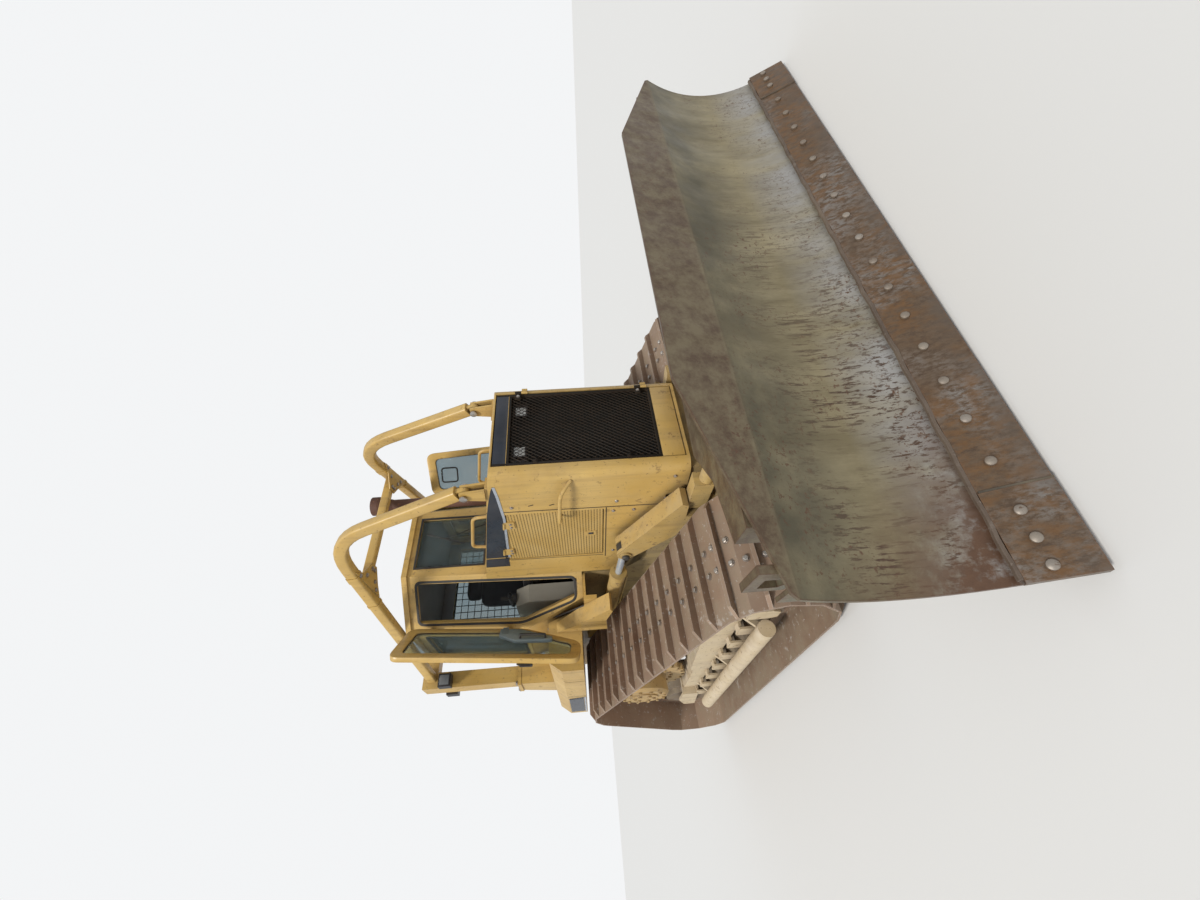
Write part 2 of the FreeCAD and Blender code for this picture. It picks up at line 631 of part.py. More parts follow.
def lattice(half, low, high, cell, bar, depth, y):
    """Crossed flat bars between two heights, their ends inside a frame."""
    height = high - low
    bars = []
    for layer, lean in ((0, 1), (1, -1)):
        shift = height * 0.62
        count = int((2 * half + shift) / cell)
        for n in range(count + 1):
            foot = -half - (shift if lean > 0 else 0) + n * cell
            head = foot + lean * shift
            front = y + layer * (depth + d.loose_gap)
            bars.append(prism([vec(foot, front, low), vec(foot + bar, front, low), vec(head + bar, front, high),
                               vec(head, front, high)], Y * depth))
    window = Part.makeBox(2 * half, 60, height, vec(-half, y - 20, low))
    return [item.common(window) for item in bars]


def grille_door():
    half = d.grille_half_width
    y = d.hood_front_y + 2
    leaf = Part.makeBox(2 * half, d.grille_thickness, d.grille_top_z - d.grille_bottom_z,
                        vec(-half, y, d.grille_bottom_z))
    rim = 14
    opening = Part.makeBox(2 * (half - rim), 200, d.grille_mesh_top_z - d.grille_mesh_bottom_z,
                           vec(rim - half, y - 50, d.grille_mesh_bottom_z))
    dish = Part.makeBox(2 * (half - rim), 40, d.grille_mesh_bottom_z - d.grille_bottom_z - 60,
                        vec(rim - half, y + 6, d.grille_bottom_z + 20))
    leaf = leaf.cut(opening).cut(dish)
    leaf = leaf.multiFuse(grille_hinges(True))
    bars = lattice(half - rim + 2, d.grille_mesh_bottom_z - 2, d.grille_mesh_top_z + 2, 78, 9, 5, y + 6)
    return leaf.multiFuse([item for item in bars if item.Volume > 1])


finished("grille_door", [made("grille_leaf", grille_door())])

# Hood lamps behind the mesh, on the radiator guard.
lamp_parts = []
for sign in (-1, 1):
    front = d.hood_front_y + 60
    depth = d.hull_front_y + 60 - d.loose_gap - front
    lamp_parts.append(Part.makeBox(96, depth, 96, vec(sign * 232 - 48, front, 1896 - 48)))


def eased(points, bend):
    """The path through the points with each corner eased by three short runs on an arc."""
    path = [points[0]]
    for before, corner, after in zip(points, points[1:], points[2:]):
        back = (before - corner).normalize()
        on = (after - corner).normalize()
        half_turn = math.acos(max(-1, min(1, back.dot(on)))) / 2
        first = corner + back * (bend / math.tan(half_turn))
        last = corner + on * (bend / math.tan(half_turn))
        centre = corner + (back + on).normalize() * (bend / math.sin(half_turn))
        middle = centre + (corner - centre).normalize() * bend
        path += Part.Arc(first, middle, last).toShape().discretize(4)
    return path + [points[-1]]


def bent_tube(points, bend, radius):
    """A thin bar of ten flat sides along a path, mitred at each corner of it."""
    path = eased(points, bend)
    sides = 10
    run = (path[1] - path[0]).normalize()
    across = run.cross(Y + Z * 0.5).normalize()
    up = run.cross(across)
    ring = [path[0] + (across * math.cos(2 * math.pi * k / sides) + up * math.sin(2 * math.pi * k / sides)) * radius
            for k in range(sides)]
    faces = [polygon(ring)]
    for i in range(1, len(path)):
        run = (path[i] - path[i - 1]).normalize()
        onward = (path[i + 1] - path[i]).normalize() if i + 1 < len(path) else run
        mitre = (run + onward).normalize()
        following = [point + run * ((path[i] - point).dot(mitre) / run.dot(mitre)) for point in ring]
        for k in range(sides):
            j = (k + 1) % sides
            faces.append(polygon([ring[k], ring[j], following[j], following[k]]))
        ring = following
    faces.append(polygon(ring))
    solid = Part.Solid(Part.Shell(faces))
    return solid if solid.Volume > 0 else solid.reversed()


rails = []
for sign in (-1, 1):
    rear_y, front_y = -640, -1105
    rails.append(bent_tube([
        vec(sign * 324, rear_y, hood_top_at(rear_y) + 0.3), vec(sign * 324, rear_y - 12, hood_top_at(rear_y) + 110),
        vec(sign * 324, front_y + 12, hood_top_at(front_y) + 110), vec(sign * 324, front_y, hood_top_at(front_y) + 0.3),
    ], 34, 13))
    side_x = d.hood_half_width + 0.3
    rails.append(bent_tube([
        vec(sign * side_x, -1300, 1790), vec(sign * (side_x + 75), -1300, 1790),
        vec(sign * (side_x + 75), -1560, 1800), vec(sign * (side_x - 2), -1635, 1700),
    ], 36, 13))
rails = [item.cut(hood_solid(-d.loose_gap)) for item in rails]
finished("grab_rails", [made("grab_rail_set", Part.makeCompound(rails))])

# Exhaust: a straight pipe with a flared mouth.
pipe = turned("exhaust_pipe", [
    ("0", "2200"), ("exhaust_radius", "2200"), ("exhaust_radius", "exhaust_top_z - 190"),
    ("exhaust_radius + 34", "exhaust_top_z - 60"), ("exhaust_radius + 34", "exhaust_top_z"),
    ("exhaust_radius + 34 - exhaust_wall", "exhaust_top_z"),
    ("exhaust_radius + 34 - exhaust_wall", "exhaust_top_z - 60"), ("0", "exhaust_top_z - 190"),
])
finished("exhaust_stack", [pipe], base=("exhaust_x", "exhaust_y", "0"))

# Limb risers: two bent box tubes from clevis feet on the hood to the roll-over posts.


def swept_box(points, bend, wide, deep):
    """A rectangular tube along two straight runs joined by one arc."""
    first_run = (points[0] - points[1]).normalize()
    last_run = (points[2] - points[1]).normalize()
    half_turn = math.acos(first_run.dot(last_run)) / 2
    back = bend / math.tan(half_turn)
    start = points[1] + first_run * back
    end = points[1] + last_run * back
    centre = points[1] + (first_run + last_run).normalize() * (bend / math.sin(half_turn))
    middle = centre + (points[1] - centre).normalize() * bend
    path = Part.Wire([Part.LineSegment(points[0], start).toShape(), Part.Arc(start, middle, end).toShape(),
                      Part.LineSegment(end, points[2]).toShape()])
    across = first_run.cross(last_run).normalize()
    up = first_run.cross(across).normalize()
    ring = Part.makePolygon([points[0] + across * (i * wide / 2) + up * (j * deep / 2)
                             for i, j in ((-1, -1), (1, -1), (1, 1), (-1, 1), (-1, -1))])
    pipe = Part.BRepOffsetAPI.MakePipeShell(path)
    pipe.setBiNormalMode(across)
    pipe.add(ring)
    pipe.build()
    pipe.makeSolid()
    return pipe.shape()


def riser_at(y):
    """The middle of a riser's upper run at a place along the machine."""
    x1, y1, z1 = d.sweep_bend_x, d.sweep_bend_y, d.sweep_bend_z + 60
    x2, y2, z2 = d.rops_x - 20, d.rops_y - d.rops_post_y / 2, d.rops_top_z - 90
    share = (y - y1) / (y2 - y1)
    return vec(x1 + share * (x2 - x1), y, z1 + share * (z2 - z1))


def sweep(side):
    foot = vec(d.sweep_x, d.sweep_foot_y, d.sweep_foot_z + 46)
    bend = vec(d.sweep_bend_x, d.sweep_bend_y, d.sweep_bend_z + 60)
    rear = riser_at(d.rops_y)
    tube = swept_box([foot, bend, rear], d.sweep_bend_radius, d.sweep_tube, d.sweep_depth)
    tube = tube.cut(Part.makeBox(600, 600, 900, vec(d.rops_x - 300, d.rops_y - d.rops_post_y / 2 - d.loose_gap,
                                                   d.rops_top_z - 500)))
    eye = Part.makeCylinder(42, 34, vec(d.sweep_x - 17, d.sweep_foot_y, d.sweep_foot_z), X)
    neck = prism([vec(d.sweep_x - 17, d.sweep_foot_y + y, d.sweep_foot_z + z) for y, z in (
        (-42, 0), (42, 0), (60, 60), (-30, 60))], X * 34)
    whole = tube.multiFuse([eye, neck])
    whole = whole.cut(Part.makeCylinder(18.3, 100, vec(d.sweep_x - 50, d.sweep_foot_y, d.sweep_foot_z), X))
    return whole if side > 0 else whole.mirror(vec(0, 0, 0), X)


def sweep_foot(side):
    """A base plate on the hood, two ears and the pin through them."""
    y = d.sweep_foot_y
    hood = hood_top_at(y)
    lean = (hood_top_at(y + 10) - hood) / 10
    base = prism([vec(d.sweep_x - 62, y + dy, hood + dy * lean + up + 0.3) for dy, up in (
        (-75, 0), (75, 0), (75, 16), (-75, 16))], X * 84)
    ears = []
    for offset in (-38, 20):
        ears.append(prism([vec(d.sweep_x + offset, y + dy, z) for dy, z in (
            (-60, hood + 4), (60, hood + 14), (36, d.sweep_foot_z + 26), (-36, d.sweep_foot_z + 26))], X * 18))
    pin = Part.makeCylinder(18, 96, vec(d.sweep_x - 48, y, d.sweep_foot_z), X)
    whole = base.multiFuse(ears + [pin])
    return whole if side > 0 else whole.mirror(vec(0, 0, 0), X)


finished("riser_feet", [made("riser_foot_pair", Part.makeCompound([sweep_foot(-1), sweep_foot(1)]))])

# The risers are one weldment with a cross tube on gusset plates under them.
plate = 10
cross = riser_at(-540)
under = d.sweep_depth / 2 - 2
cross_tube = Part.makeBox(2 * cross.x, 70, 70, vec(-cross.x, cross.y - 35, cross.z - under - plate / 2))
gussets = []
for sign in (-1, 1):
    inner = cross.x - d.sweep_tube / 2
    gussets.append(prism([vec(sign * x, y, riser_at(y).z - under - plate) for x, y in (
        (inner + 20, -760), (inner + 55, -360), (inner - 30, -430), (inner - 150, -500), (inner - 150, -580),
        (inner - 30, -660))], Z * plate))
finished("limb_risers", [made("riser_weldment", cross_tube.multiFuse(gussets + [sweep(1), sweep(-1)]))])

# Roll-over frame: two posts on flanged feet and a beam across the cab's back.
rops_parts = []
for sign in (-1, 1):
    rops_parts.append(Part.makeBox(d.rops_post_x, d.rops_post_y, d.rops_top_z - d.rops_base_z,
                                   vec(sign * d.rops_x - d.rops_post_x / 2, d.rops_y - d.rops_post_y / 2,
                                       d.rops_base_z)))
    rops_parts.append(Part.makeBox(d.rops_post_x + 80, d.rops_post_y + 80, 36,
                                   vec(sign * d.rops_x - d.rops_post_x / 2 - 40,
                                       d.rops_y - d.rops_post_y / 2 - 40, d.rops_base_z)))
rops_parts.append(Part.makeBox(2 * d.rops_x, 120, 130, vec(-d.rops_x, d.rops_y - 50, d.rops_top_z - 130)))
finished("rollover_frame", [made("rops_welded", rops_parts[0].multiFuse(rops_parts[1:]))])

# Cab. The front is narrow, the door faces run back at an angle, and the sides flare downwards.
front_flare = 48


def side_slope():
    """How far back the side corner moves from roof to floor, so that the door face stays flat."""
    return ((d.cab_side_y - d.cab_front_y) / (d.cab_side_half - d.cab_front_half)
            * (d.cab_flare - front_flare))


def front_corner(z):
    drop = (d.cab_top_z - z) / (d.cab_top_z - d.cab_floor_z)
    return vec(d.cab_front_half + front_flare * drop, d.cab_front_y, z)


def side_corner(z):
    drop = (d.cab_top_z - z) / (d.cab_top_z - d.cab_floor_z)
    return vec(d.cab_side_half + d.cab_flare * drop, d.cab_side_y + side_slope() * drop, z)


def cab_ring(z, inset):
    front = front_corner(z)
    side = side_corner(z)
    lean = math.atan2(side.y - front.y, side.x - front.x)
    shift = inset * math.tan((math.pi / 2 - lean) / 2)
    half = [
        (front.x - inset * math.tan(lean / 2), front.y + inset),
        (side.x - inset, side.y + shift),
        (side.x - inset, d.cab_rear_y - inset),
    ]
    ring = [vec(x, y, z) for x, y in half] + [vec(-x, y, z) for x, y in reversed(half)]
    return Part.makePolygon(ring + ring[:1])


def waist(grow, low):
    """What stands outside the narrowing below the belt."""
    wide = side_corner(d.belt_z).x - 4
    narrow = 570
    blocks = []
    for sign in (-1, 1):
        blocks.append(prism([vec(sign * (x + grow), -400, z) for x, z in (
            (narrow - 12, low), (wide, d.belt_z), (wide + 400, d.belt_z), (wide + 400, low))], Y * 2000))
    return blocks


def cab_body():
    outer = Part.makeLoft([cab_ring(d.cab_floor_z, 0), cab_ring(d.cab_top_z, 0)], True, True)
    inner = Part.makeLoft([cab_ring(d.cab_floor_z + 40, d.cab_wall),
                           cab_ring(d.cab_top_z + 1, d.cab_wall)], True, True)
    for block in waist(0, d.cab_floor_z - 20):
        outer = outer.cut(block)
    for block in waist(-d.cab_wall, d.cab_floor_z - 20):
        inner = inner.cut(block)
    return outer.cut(inner)


def door_point(share, z, side, out):
    """A point on a door face: 0 at the hinge corner, 1 at the front pillar, out of the face by out."""
    corner = side_corner(z)
    pillar = front_corner(z)
    point = corner + (pillar - corner) * share + door_normal() * out
    return point if side > 0 else vec(-point.x, point.y, point.z)


def door_normal():
    top = side_corner(d.cab_top_z)
    normal = (side_corner(d.cab_floor_z) - top).cross(front_corner(d.cab_top_z) - top).normalize()
    return normal if normal.x > 0 else normal * -1


def share_at(z, x):
    """The share of the door face's width at which it is x away from the middle."""
    return (side_corner(z).x - x) / (side_corner(z).x - front_corner(z).x)


low_z = d.cab_floor_z + 16
door_outline = [
    (0.055, d.cab_top_z - 16), (0.96, d.cab_top_z - 16), (0.96, low_z), (share_at(low_z, 582), low_z),
    (0.07, d.belt_z + 4),
]
door_hole = [
    (0.14, d.cab_top_z - 70), (0.86, d.cab_top_z - 70), (0.86, low_z + 34), (share_at(low_z + 34, 540), low_z + 34),
    (0.18, d.belt_z + 10),
]
door_glass = [
    (0.17, d.cab_top_z - 100), (0.83, d.cab_top_z - 100), (0.83, low_z + 80), (share_at(low_z + 80, 560), low_z + 80),
    (0.19, d.belt_z + 30),
]


def door_slab(outline, side, inner, outer):
    """A plate over part of the door face between two distances out of it."""
    low = [door_point(share, z, side, inner) for share, z in outline]
    normal = door_normal()
    if side < 0:
        normal = vec(-normal.x, normal.y, normal.z)
    return prism(low, normal * (outer - inner))


cab = cab_body()
for side in (-1, 1):
    cab = cab.cut(door_slab(door_hole, side, -140, 30))
windscreen = (250, 2415, 3025)
rear_glass = (520, 2150, 2960)
side_glass = (330, 900, 2120, 2990)
cab = cab.cut(Part.makeBox(2 * windscreen[0], 300, windscreen[2] - windscreen[1],
                           vec(-windscreen[0], d.cab_front_y - 100, windscreen[1])))
cab = cab.cut(Part.makeBox(2 * rear_glass[0], 300, rear_glass[2] - rear_glass[1],
                           vec(-rear_glass[0], d.cab_rear_y - 150, rear_glass[1])))
cab = cab.cut(Part.makeBox(2000, side_glass[1] - side_glass[0], side_glass[3] - side_glass[2],
                           vec(-1000, side_glass[0], side_glass[2])))

roof_ring = cab_ring(d.cab_top_z, -22)
roof = Part.Face(roof_ring).extrude(Z * d.roof_thickness)
finished("cab_roof", [made("cab_roof_slab", roof)])


def side_pane(side):
    """A pane in the side window, leaning with the wall."""
    y1, y2, low, high = side_glass
    inset = 26
    corners = [(side_corner(low).x - inset, low), (side_corner(high).x - inset, high),
               (side_corner(high).x - inset - d.glass_thickness, high),
               (side_corner(low).x - inset - d.glass_thickness, low)]
    pane = prism([vec(x, y1, z) for x, z in corners], Y * (y2 - y1))
    return pane if side > 0 else pane.mirror(vec(0, 0, 0), X)


panes = [
    Part.makeBox(2 * windscreen[0], d.glass_thickness, windscreen[2] - windscreen[1],
                 vec(-windscreen[0], d.cab_front_y + 24, windscreen[1])),
    Part.makeBox(2 * rear_glass[0], d.glass_thickness, rear_glass[2] - rear_glass[1],
                 vec(-rear_glass[0], d.cab_rear_y - 30, rear_glass[1])),
    side_pane(-1), side_pane(1),
]
finished("cab_glass", [made("cab_panes", Part.makeCompound(panes))])


def screen():
    """A square wire screen in a rim behind the rear glass."""
    half, low, high = rear_glass
    y = d.cab_rear_y + d.loose_gap
    rim = Part.makeBox(2 * half + 60, 16, high - low + 60, vec(-half - 30, y, low - 30))
    rim = rim.cut(Part.makeBox(2 * half - 20, 60, high - low - 20, vec(10 - half, y - 20, low + 10)))
    wires = []
    count = 14
    for n in range(1, count):
        x = -half + 2 * half * n / count
        wires.append(Part.makeBox(7, 6, high - low, vec(x - 3.5, y + 1, low)))
    rows = 11
    for n in range(1, rows):
        z = low + (high - low) * n / rows
        wires.append(Part.makeBox(2 * half, 6, 7, vec(-half, y + 7 + d.loose_gap, z - 3.5)))
    return rim.multiFuse(wires)


finished("rear_screen", [made("rear_screen_mesh", screen())])


# Doors stand open; they are modelled shut and then turned about their hinge edges.


def hinge_line(side):
    """Where a door's hinge pins lie, from the belt to the roof."""
    out = d.panel_gap + d.door_thickness
    return door_point(0.02, d.belt_z, side, out), door_point(0.02, d.cab_top_z - 16, side, out)


def knuckles(side, on_door):
    """The door's or the cab's halves of the two hinges."""
    low, high = hinge_line(side)
    up = (high - low).normalize()
    length = (high - low).Length
    pieces = []
    for share in (0.16, 0.84):
        middle = low + up * (length * share)
        base = middle + up * (0.3 if on_door else -48.3)
        pieces.append(Part.makeCylinder(15, 48, base, up))
        normal = door_normal()
        if side < 0:
            normal = vec(-normal.x, normal.y, normal.z)
        inward = normal.cross(up).normalize()
        if inward.x * side > 0:
            inward = inward * -1
        reach = inward * (70 if on_door else -44)
        foot = base + up * 4
        corners = [foot, foot + up * 40, foot + up * 40 + reach, foot + reach]
        if not on_door:
            back = normal * -(d.panel_gap + d.door_thickness + 20)
            corners = [foot, foot + up * 40, foot + up * 40 + back, foot + back]
            pieces.append(prism(corners, reach.normalize() * 10))
        else:
            pieces.append(prism([point - normal * 14 for point in corners], normal * 14))
    return pieces


def door(side):
    leaf = door_slab(door_outline, side, d.panel_gap, d.panel_gap + d.door_thickness)
    leaf = leaf.cut(door_slab(door_glass, side, -50, 200))
    return leaf.multiFuse(knuckles(side, True))


def door_pane(side):
    middle = d.panel_gap + d.door_thickness / 2
    return door_slab(door_glass, side, middle - d.glass_thickness / 2, middle + d.glass_thickness / 2)


def opened(shape, side):
    low, high = hinge_line(side)
    turn = -d.door_open if side < 0 else d.door_open
    return shape.rotated(low, high - low, turn)


for label, side in (("right", -1), ("left", 1)):
    finished("cab_door_" + label, [made("door_frame_" + label, opened(door(side), side))])
    finished("door_glass_" + label, [made("door_pane_" + label, opened(door_pane(side), side))])

cab = cab.multiFuse(knuckles(-1, False) + knuckles(1, False))
finished("cab_body", [made("cab_shell", cab)])

# Platform under the cab with a ledge and a lip in front of each doorway.
deck = box("deck", ("-deck_half_width", "deck_half_width"), ("cab_front_y + 40", "cab_rear_y"),
           ("cab_floor_z - platform_thickness", "cab_floor_z"))
ledges = []
for sign in ("", "-"):
    low, high = ("ledge_inner_x", "ledge_outer_x") if sign == "" else ("-ledge_outer_x", "-ledge_inner_x")
    ledges.append(box("ledge", (low, high), ("cab_front_y + 10", "cab_side_y"),
                      ("cab_floor_z - platform_thickness", "cab_floor_z - working_gap")))
    low, high = ("ledge_lip_x", "ledge_outer_x") if sign == "" else ("-ledge_outer_x", "-ledge_lip_x")
    ledges.append(box("ledge_lip", (low, high), ("cab_front_y + 10", "cab_side_y"),
                      ("cab_floor_z - 118", "cab_floor_z - working_gap")))
finished("platform", [fused("platform_joined", [deck] + ledges)])


# Fenders over the tracks, with pedestals for the roll-over posts and a sloped panel in front.


def fender(side):
    body = prism([vec(x, d.fender_front_y, z) for x, z in (
        (d.deck_half_width - 10, d.cab_floor_z + d.loose_gap), (d.deck_half_width + 12, d.cab_floor_z + d.loose_gap),
        (d.deck_half_width + 12, d.fender_z), (d.fender_outer_x, d.fender_z),
        (d.fender_outer_x, d.fender_z + 190), (d.fender_outer_x - 80, d.fender_z + 300),
        (d.deck_half_width + 105, d.fender_z + 300), (d.deck_half_width, d.fender_z + 15),
        (d.deck_half_width - 10, d.fender_z))], Y * (d.fender_rear_y - d.fender_front_y))
    nose = prism([vec(500, y, z) for y, z in (
        (d.fender_front_y, d.cab_floor_z - 200), (d.fender_front_y, 1785), (-52, d.cab_floor_z),
        (-290, 1310), (-250, 1290), (-50, 1340))], X * 300)
    nose = nose.common(prism([vec(x, -400, z) for x, z in (
        (d.ledge_outer_x + d.loose_gap, 1200), (d.ledge_outer_x + d.loose_gap, d.cab_floor_z + 10),
        (735, 1900), (800, 1900), (800, 1200))], Y * 600))
    pedestal = Part.makeLoft([Part.makePolygon([vec(x, y, z) for x, y in (
        (d.rops_x - wide, d.rops_y - deep), (d.rops_x + wide, d.rops_y - deep), (d.rops_x + wide, d.rops_y + deep),
        (d.rops_x - wide, d.rops_y + deep), (d.rops_x - wide, d.rops_y - deep))]) for z, wide, deep in (
            (d.fender_z + 200, 130, 190), (d.rops_base_z - 0.3, 105, 130))], True, True)
    whole = body.multiFuse([nose, pedestal])
    return whole if side > 0 else whole.mirror(vec(0, 0, 0), X)


finished("fenders", [made("fender_pair", Part.makeCompound([fender(-1), fender(1)]))])

tank = padded("tank_block", "YZ", [
    ("rops_y + 65 - 100", "tank_bottom_z"), ("tank_rear_y - 120", "tank_bottom_z"),
    ("tank_rear_y", "tank_bottom_z + 160"), ("tank_rear_y", "tank_top_z - 160"),
    ("tank_rear_y - 110", "tank_top_z"), ("rops_y + 65 - 100", "tank_top_z"),
], "-tank_half_width", "tank_half_width")
finished("fuel_tank", [tank])

drawbar_plate = padded("drawbar_plate", "XY", [
    ("-170", "hull_rear_y"), ("170", "hull_rear_y"), ("76", "hull_rear_y + 190"),
    ("76", "hull_rear_y + hitch_length + 120"), ("-76", "hull_rear_y + hitch_length + 120"),
    ("-76", "hull_rear_y + 190"),
], "hitch_z - 40", "hitch_z + 40")
drawbar_end = rod("drawbar_end", "z", "hitch_z - 40", "hitch_z + 40", "76", ("0", "hull_rear_y + hitch_length + 120"))
drawbar_rib = padded("drawbar_rib", "YZ", [
    ("hull_rear_y", "hitch_z"), ("hull_rear_y + 240", "hitch_z"), ("hull_rear_y + 240", "hitch_z + 50"),
    ("hull_rear_y", "hitch_z + 240"),
], "-30", "30")
drawbar_hole = rod("drawbar_hole", "z", "hitch_z - 60", "hitch_z + 60", "hitch_pin_radius",
                   ("0", "hull_rear_y + hitch_length + 120"))
finished("drawbar", [less("drawbar_bored", fused("drawbar_joined", [drawbar_plate, drawbar_end, drawbar_rib]),
                          drawbar_hole)])

# Work lamps on the roll-over posts: one facing forward and one back on each.
lamps = []
for sign in (-1, 1):
    for facing in (-1, 1):
        y = d.rops_y + facing * (d.rops_post_y / 2 + d.loose_gap)
        arm = Part.makeBox(60, 46, 30, vec(sign * (d.rops_x + 30) - 30, min(y, y + facing * 46), 2930))
        head = Part.makeBox(120, 90, 120, vec(sign * (d.rops_x + 30) - 60, min(y + facing * 30, y + facing * 120),
                                              2885))
        lamps.append(arm.fuse(head))
finished("lamps", [made("hood_lamp_pair", Part.makeCompound(lamp_parts)),
                   made("work_lamp_set", Part.makeCompound(lamps))])

# Seat and side console inside the cab.
floor_z = d.cab_floor_z + 40
cushion = rounded("cushion", box("cushion_block", ("-260", "260"), ("350", "820"), ("2000", "2140")), 40,
                  lambda edge: along(edge, Z) or along(edge, X))
back = padded("seat_back_block", "YZ", [
    ("740", "2120"), ("860", "2120"), ("930", "2760"), ("850", "2790"),
], "-240", "240")
pedestal = box("seat_pedestal", ("-150", "150"), ("430", "720"), ("cab_floor_z + 40 + loose_gap", "2020"))
finished("seat", [fused("seat_joined", [cushion, back, pedestal])])
console = padded("console_block", "YZ", [
    ("230", "cab_floor_z + 40 + loose_gap"), ("700", "cab_floor_z + 40 + loose_gap"), ("700", "2180"),
    ("330", "2180"), ("230", "2050"),
], "-470", "-300")
finished("console", [console])

# Push frame: two arms, a cross box in front of the tracks, a nose with a vertical pin, and a
# tower on each arm that takes the lift cylinder's rod.
arm_low = "pivot_z - arm_height/2"
arm_top = "pivot_z + arm_height/2"
arm_outer = "arm_inner_x + arm_width"
arm = padded("arm_beam", "YZ", [
    ("trunnion_y", arm_low), ("trunnion_y", arm_top), ("pivot_y + 480", arm_top), ("pivot_y + 480", arm_low),
], "arm_inner_x", arm_outer)
arm_boss = rod("arm_boss", "x", "arm_inner_x", arm_outer, "112", ("trunnion_y", "trunnion_z"))
tower = padded("tower_plate", "YZ", [
    ("-1130", "%s - 10" % arm_top), ("-1370", "%s - 10" % arm_top), ("-1370", "790"), ("-1505", "790"),
    ("-1520", "833"), ("lift_eye_y - 35.6", "lift_eye_z + 55.3"), ("lift_eye_y + 46.9", "lift_eye_z - 46.6"),
    ("-1240", "700"),
], "arm_inner_x", arm_outer)
tower_head = rod("tower_head", "x", "arm_inner_x", arm_outer, "66", ("lift_eye_y", "lift_eye_z"))
inner_hub = rod("inner_hub", "x", "arm_inner_x - 14", "arm_inner_x", "54", ("lift_eye_y", "lift_eye_z"))
outer_boss = rod("outer_boss", "x", arm_outer, "%s + 14" % arm_outer, "44", ("lift_eye_y", "lift_eye_z"))
tower_slot = box("tower_slot", ("lift_x - lift_eye_width/2 - 4", "lift_x + lift_eye_width/2 + 4"),
                 ("lift_eye_y - 76", "lift_eye_y + 200"), ("lift_eye_z - 190", "lift_eye_z + 200"))
arm_bore = rod("arm_bore", "x", "arm_inner_x - 20", "%s + 20" % arm_outer, "trunnion_radius + running_gap",
               ("trunnion_y", "trunnion_z"))
angle_pin_low = rod("angle_pin", "z", "%s - 10" % arm_top, "790", "angle_pin_radius", ("angle_x", "angle_barrel_y"))
half_frame = less("arm_cut", fused("arm_joined", [arm, arm_boss, tower, tower_head, inner_hub, outer_boss,
                                                  angle_pin_low]),
                  fused("arm_tools", [tower_slot, arm_bore]))
cross_box = padded("cross_box", "XY", [
    (arm_outer, "pivot_y + 500"), (arm_outer, "pivot_y + 475"), ("200", "pivot_y + 185"), ("-200", "pivot_y + 185"),
    ("-(%s)" % arm_outer, "pivot_y + 475"), ("-(%s)" % arm_outer, "pivot_y + 500"),
    ("-arm_inner_x", "pivot_y + 640"), ("-(hood_half_width + 10)", "pivot_y + 500"),
    ("hood_half_width + 10", "pivot_y + 500"),
    ("arm_inner_x", "pivot_y + 640"),
], arm_low, arm_top)
nose = box("nose_neck", ("-nose_radius", "nose_radius"), ("pivot_y", "pivot_y + 220"),
           ("pivot_z - nose_height/2", "pivot_z + nose_height/2"))
nose_round = rod("nose_round", "z", "pivot_z - nose_height/2", "pivot_z + nose_height/2", "nose_radius",
                 ("0", "pivot_y"))
nose_pin = rod("nose_pin", "z", "pivot_z - 118", "pivot_z + 118", "nose_pin_radius", ("0", "pivot_y"))
finished("push_frame", [fused("push_frame_joined", [
    half_frame, mirrored("arm_mirrored", half_frame), cross_box, nose, nose_round, nose_pin])])


# Cylinders are drawn along their own Z from the barrel's pivot at the origin, with the pins along X.


def barrel(name, radius, rod_radius, length, eye_radius, eye_width, pin_radius):
    profile = turned(name + "_tube", [
        ("0", "%s * 0.6" % eye_radius), ("%s * 0.48" % eye_width, "%s * 0.6" % eye_radius),
        ("%s * 0.48" % eye_width, "%s * 1.1" % eye_radius), (radius, "%s * 1.5" % eye_radius), (radius, "%s - 70" % length), ("%s + 6" % radius, "%s - 70" % length),
        ("%s + 6" % radius, length), ("0", length),
    ])
    eye = rod(name + "_eye", "x", "-%s/2" % eye_width, "%s/2" % eye_width, eye_radius, ("0", "0"))
    bore = rod(name + "_bore", "z", "%s + 30" % eye_radius, "%s + 10" % length, "%s + running_gap" % rod_radius,
               ("0", "0"))
    pin_hole = rod(name + "_pin_hole", "x", "-%s" % eye_width, eye_width, "%s + running_gap" % pin_radius, ("0", "0"))
    return less(name + "_cut", fused(name + "_joined", [profile, eye]), fused(name + "_holes", [bore, pin_hole]))


def piston_rod(name, rod_radius, start, reach, eye_radius, eye_width):
    shaft = rod(name + "_shaft", "z", start, reach, rod_radius, ("0", "0"))
    eye = rod(name + "_eye", "x", "-%s/2" % eye_width, "%s/2" % eye_width, eye_radius, ("0", reach))
    return fused(name + "_joined", [shaft, eye])


def aim(towards, pin):
    """The turn that lays a cylinder's Z towards a direction and its X along its pins."""
    return FreeCAD.Rotation(pin, vec(0, 0, 0), towards, "ZXY")


